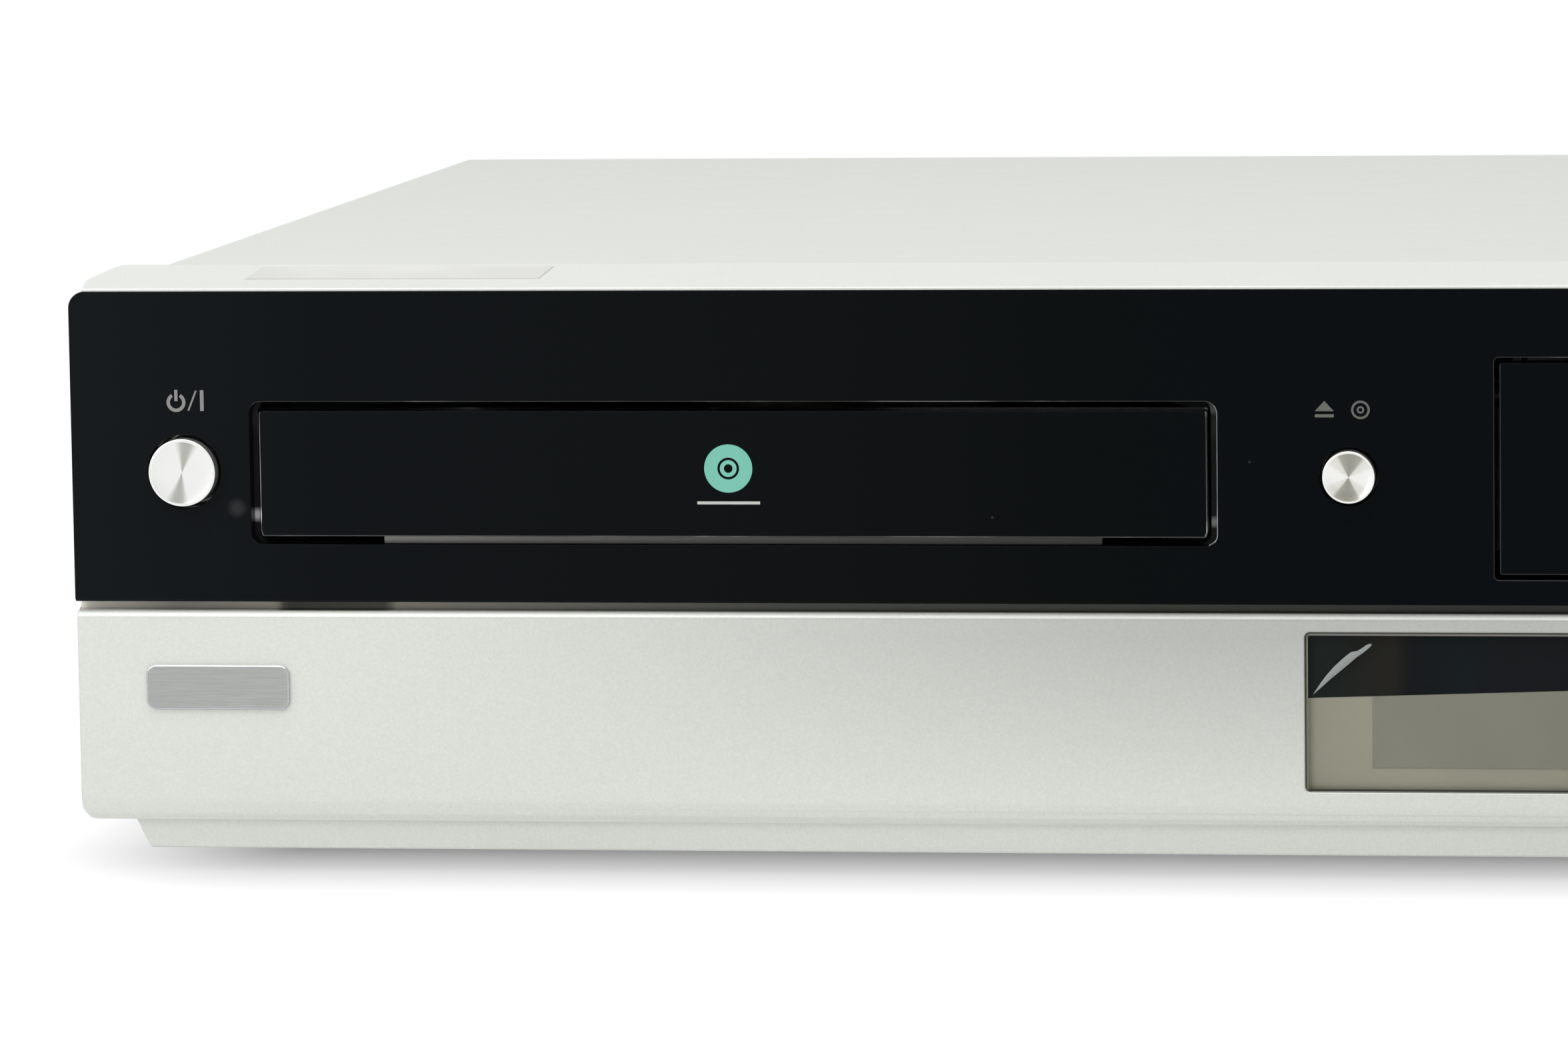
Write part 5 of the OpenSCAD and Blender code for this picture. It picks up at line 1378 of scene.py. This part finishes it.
# %% [markdown]
# ## Sockets
# A phono socket is a metal barrel round a coloured insulator, and its bore is
# dark. The colours follow the common code: yellow for the picture, white and red
# for sound, green, blue and red for the three parts of a finer picture. Which
# finish a face takes follows from its distance to the barrel's middle.

# %% Socket finishes
socket_dark = moulded("socket_dark", srgb(14, 14, 15), 0.6, Specular_IOR_Level=0.2)
RING_COLOURS = {"yellow": (214, 178, 44), "white": (226, 226, 222), "red": (184, 38, 36),
                "green": (44, 138, 74), "blue": (40, 84, 168)}
RINGS = {name: moulded("ring_" + name, srgb(*tone), 0.4, 0.4, 0.004)
         for name, tone in RING_COLOURS.items()}
SOCKET_FINISHES = [case_black, plated, socket_dark, *RINGS.values(), bright_steel]
BARREL, INSULATOR, BORE = 4.3, 3.9, 1.75
print("socket finishes:", len(SOCKET_FINISHES))


def phono_finish(piece, x, z, ring, mouth):
    """Barrel, bore and insulator of one phono socket whose rim lies at y = mouth."""
    reach = lambda c: (c.xz - Vector((x, z))).length
    tint(piece, plated, lambda c, n: reach(c) < BARREL)
    tint(piece, socket_dark, lambda c, n: reach(c) < BORE)
    tint(piece, RINGS[ring], lambda c, n: reach(c) < INSULATOR and abs(c.y - mouth) < 0.05)


# %% [markdown]
# Phono sockets stand in even rows, so each place follows from the first one and
# the pitch. The aerial sockets are bare metal round a white core, and the digital
# one is a metal shell round a black tongue.

# %% Front and rear sockets
FRONT_ROW, FRONT_PITCH, FRONT_ROW_Z = 176, 13.5, 22.5
front_sockets = softened("front_jacks", 0.2, SOCKET_FINISHES)
for i, ring in enumerate(("yellow", "white", "red")):
    phono_finish(front_sockets, FRONT_ROW + FRONT_PITCH * i, FRONT_ROW_Z, ring,
                 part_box("front_jacks")[0].y / MM)
fit(front_sockets, "case", stands_for="front_jacks")

REAR_ROW, REAR_PITCH, REAR_ROWS_Z = 10, 14, (30, 50)
AERIALS_FROM, AERIAL_CORE = 120, 127.5
DIGITAL_X, DIGITAL_Z, TONGUE_Z = -42, 50, 50.6
SOCKET_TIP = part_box("rear_jacks")[1].y / MM
rear_sockets = softened("rear_jacks", 0.2, SOCKET_FINISHES, leave=lambda m: m.x < -20)
for i, ring in enumerate(("yellow", "white", "red", "green", "blue", "red")):
    for z in REAR_ROWS_Z:
        phono_finish(rear_sockets, REAR_ROW + REAR_PITCH * i, z, ring, SOCKET_TIP)
tint(rear_sockets, bright_steel, lambda c, n: c.x > AERIALS_FROM)
tint(rear_sockets, RINGS["white"], lambda c, n: c.x > AERIALS_FROM and n.y > 0.9
     and AERIAL_CORE < c.y < SOCKET_TIP - 1)
tint(rear_sockets, bright_steel, lambda c, n: abs(c.x - DIGITAL_X) < 7.8 and abs(c.z - DIGITAL_Z) < 3.2)
tint(rear_sockets, case_black, lambda c, n: abs(c.x - DIGITAL_X) < 5.7 and abs(c.z - TONGUE_Z) < 0.7)
fit(rear_sockets, "case", stands_for="rear_jacks")

# %% [markdown]
# The mains inlet is a black moulding with two bright pins deep inside it. Their
# faces are picked by the distance to each pin's middle.

# %% Mains inlet
PINS_X, PINS_Z, PIN_FOOT = (-169.3, -160.7), 32, 118.5
inlet = softened("power_inlet", 0.25, [case_black, bright_steel, socket_dark])
for pin_x in PINS_X:
    tint(inlet, bright_steel, lambda c, n: (c.xz - Vector((pin_x, PINS_Z))).length < 1.3 and c.y > PIN_FOOT)
fit(inlet, "case", stands_for="power_inlet")
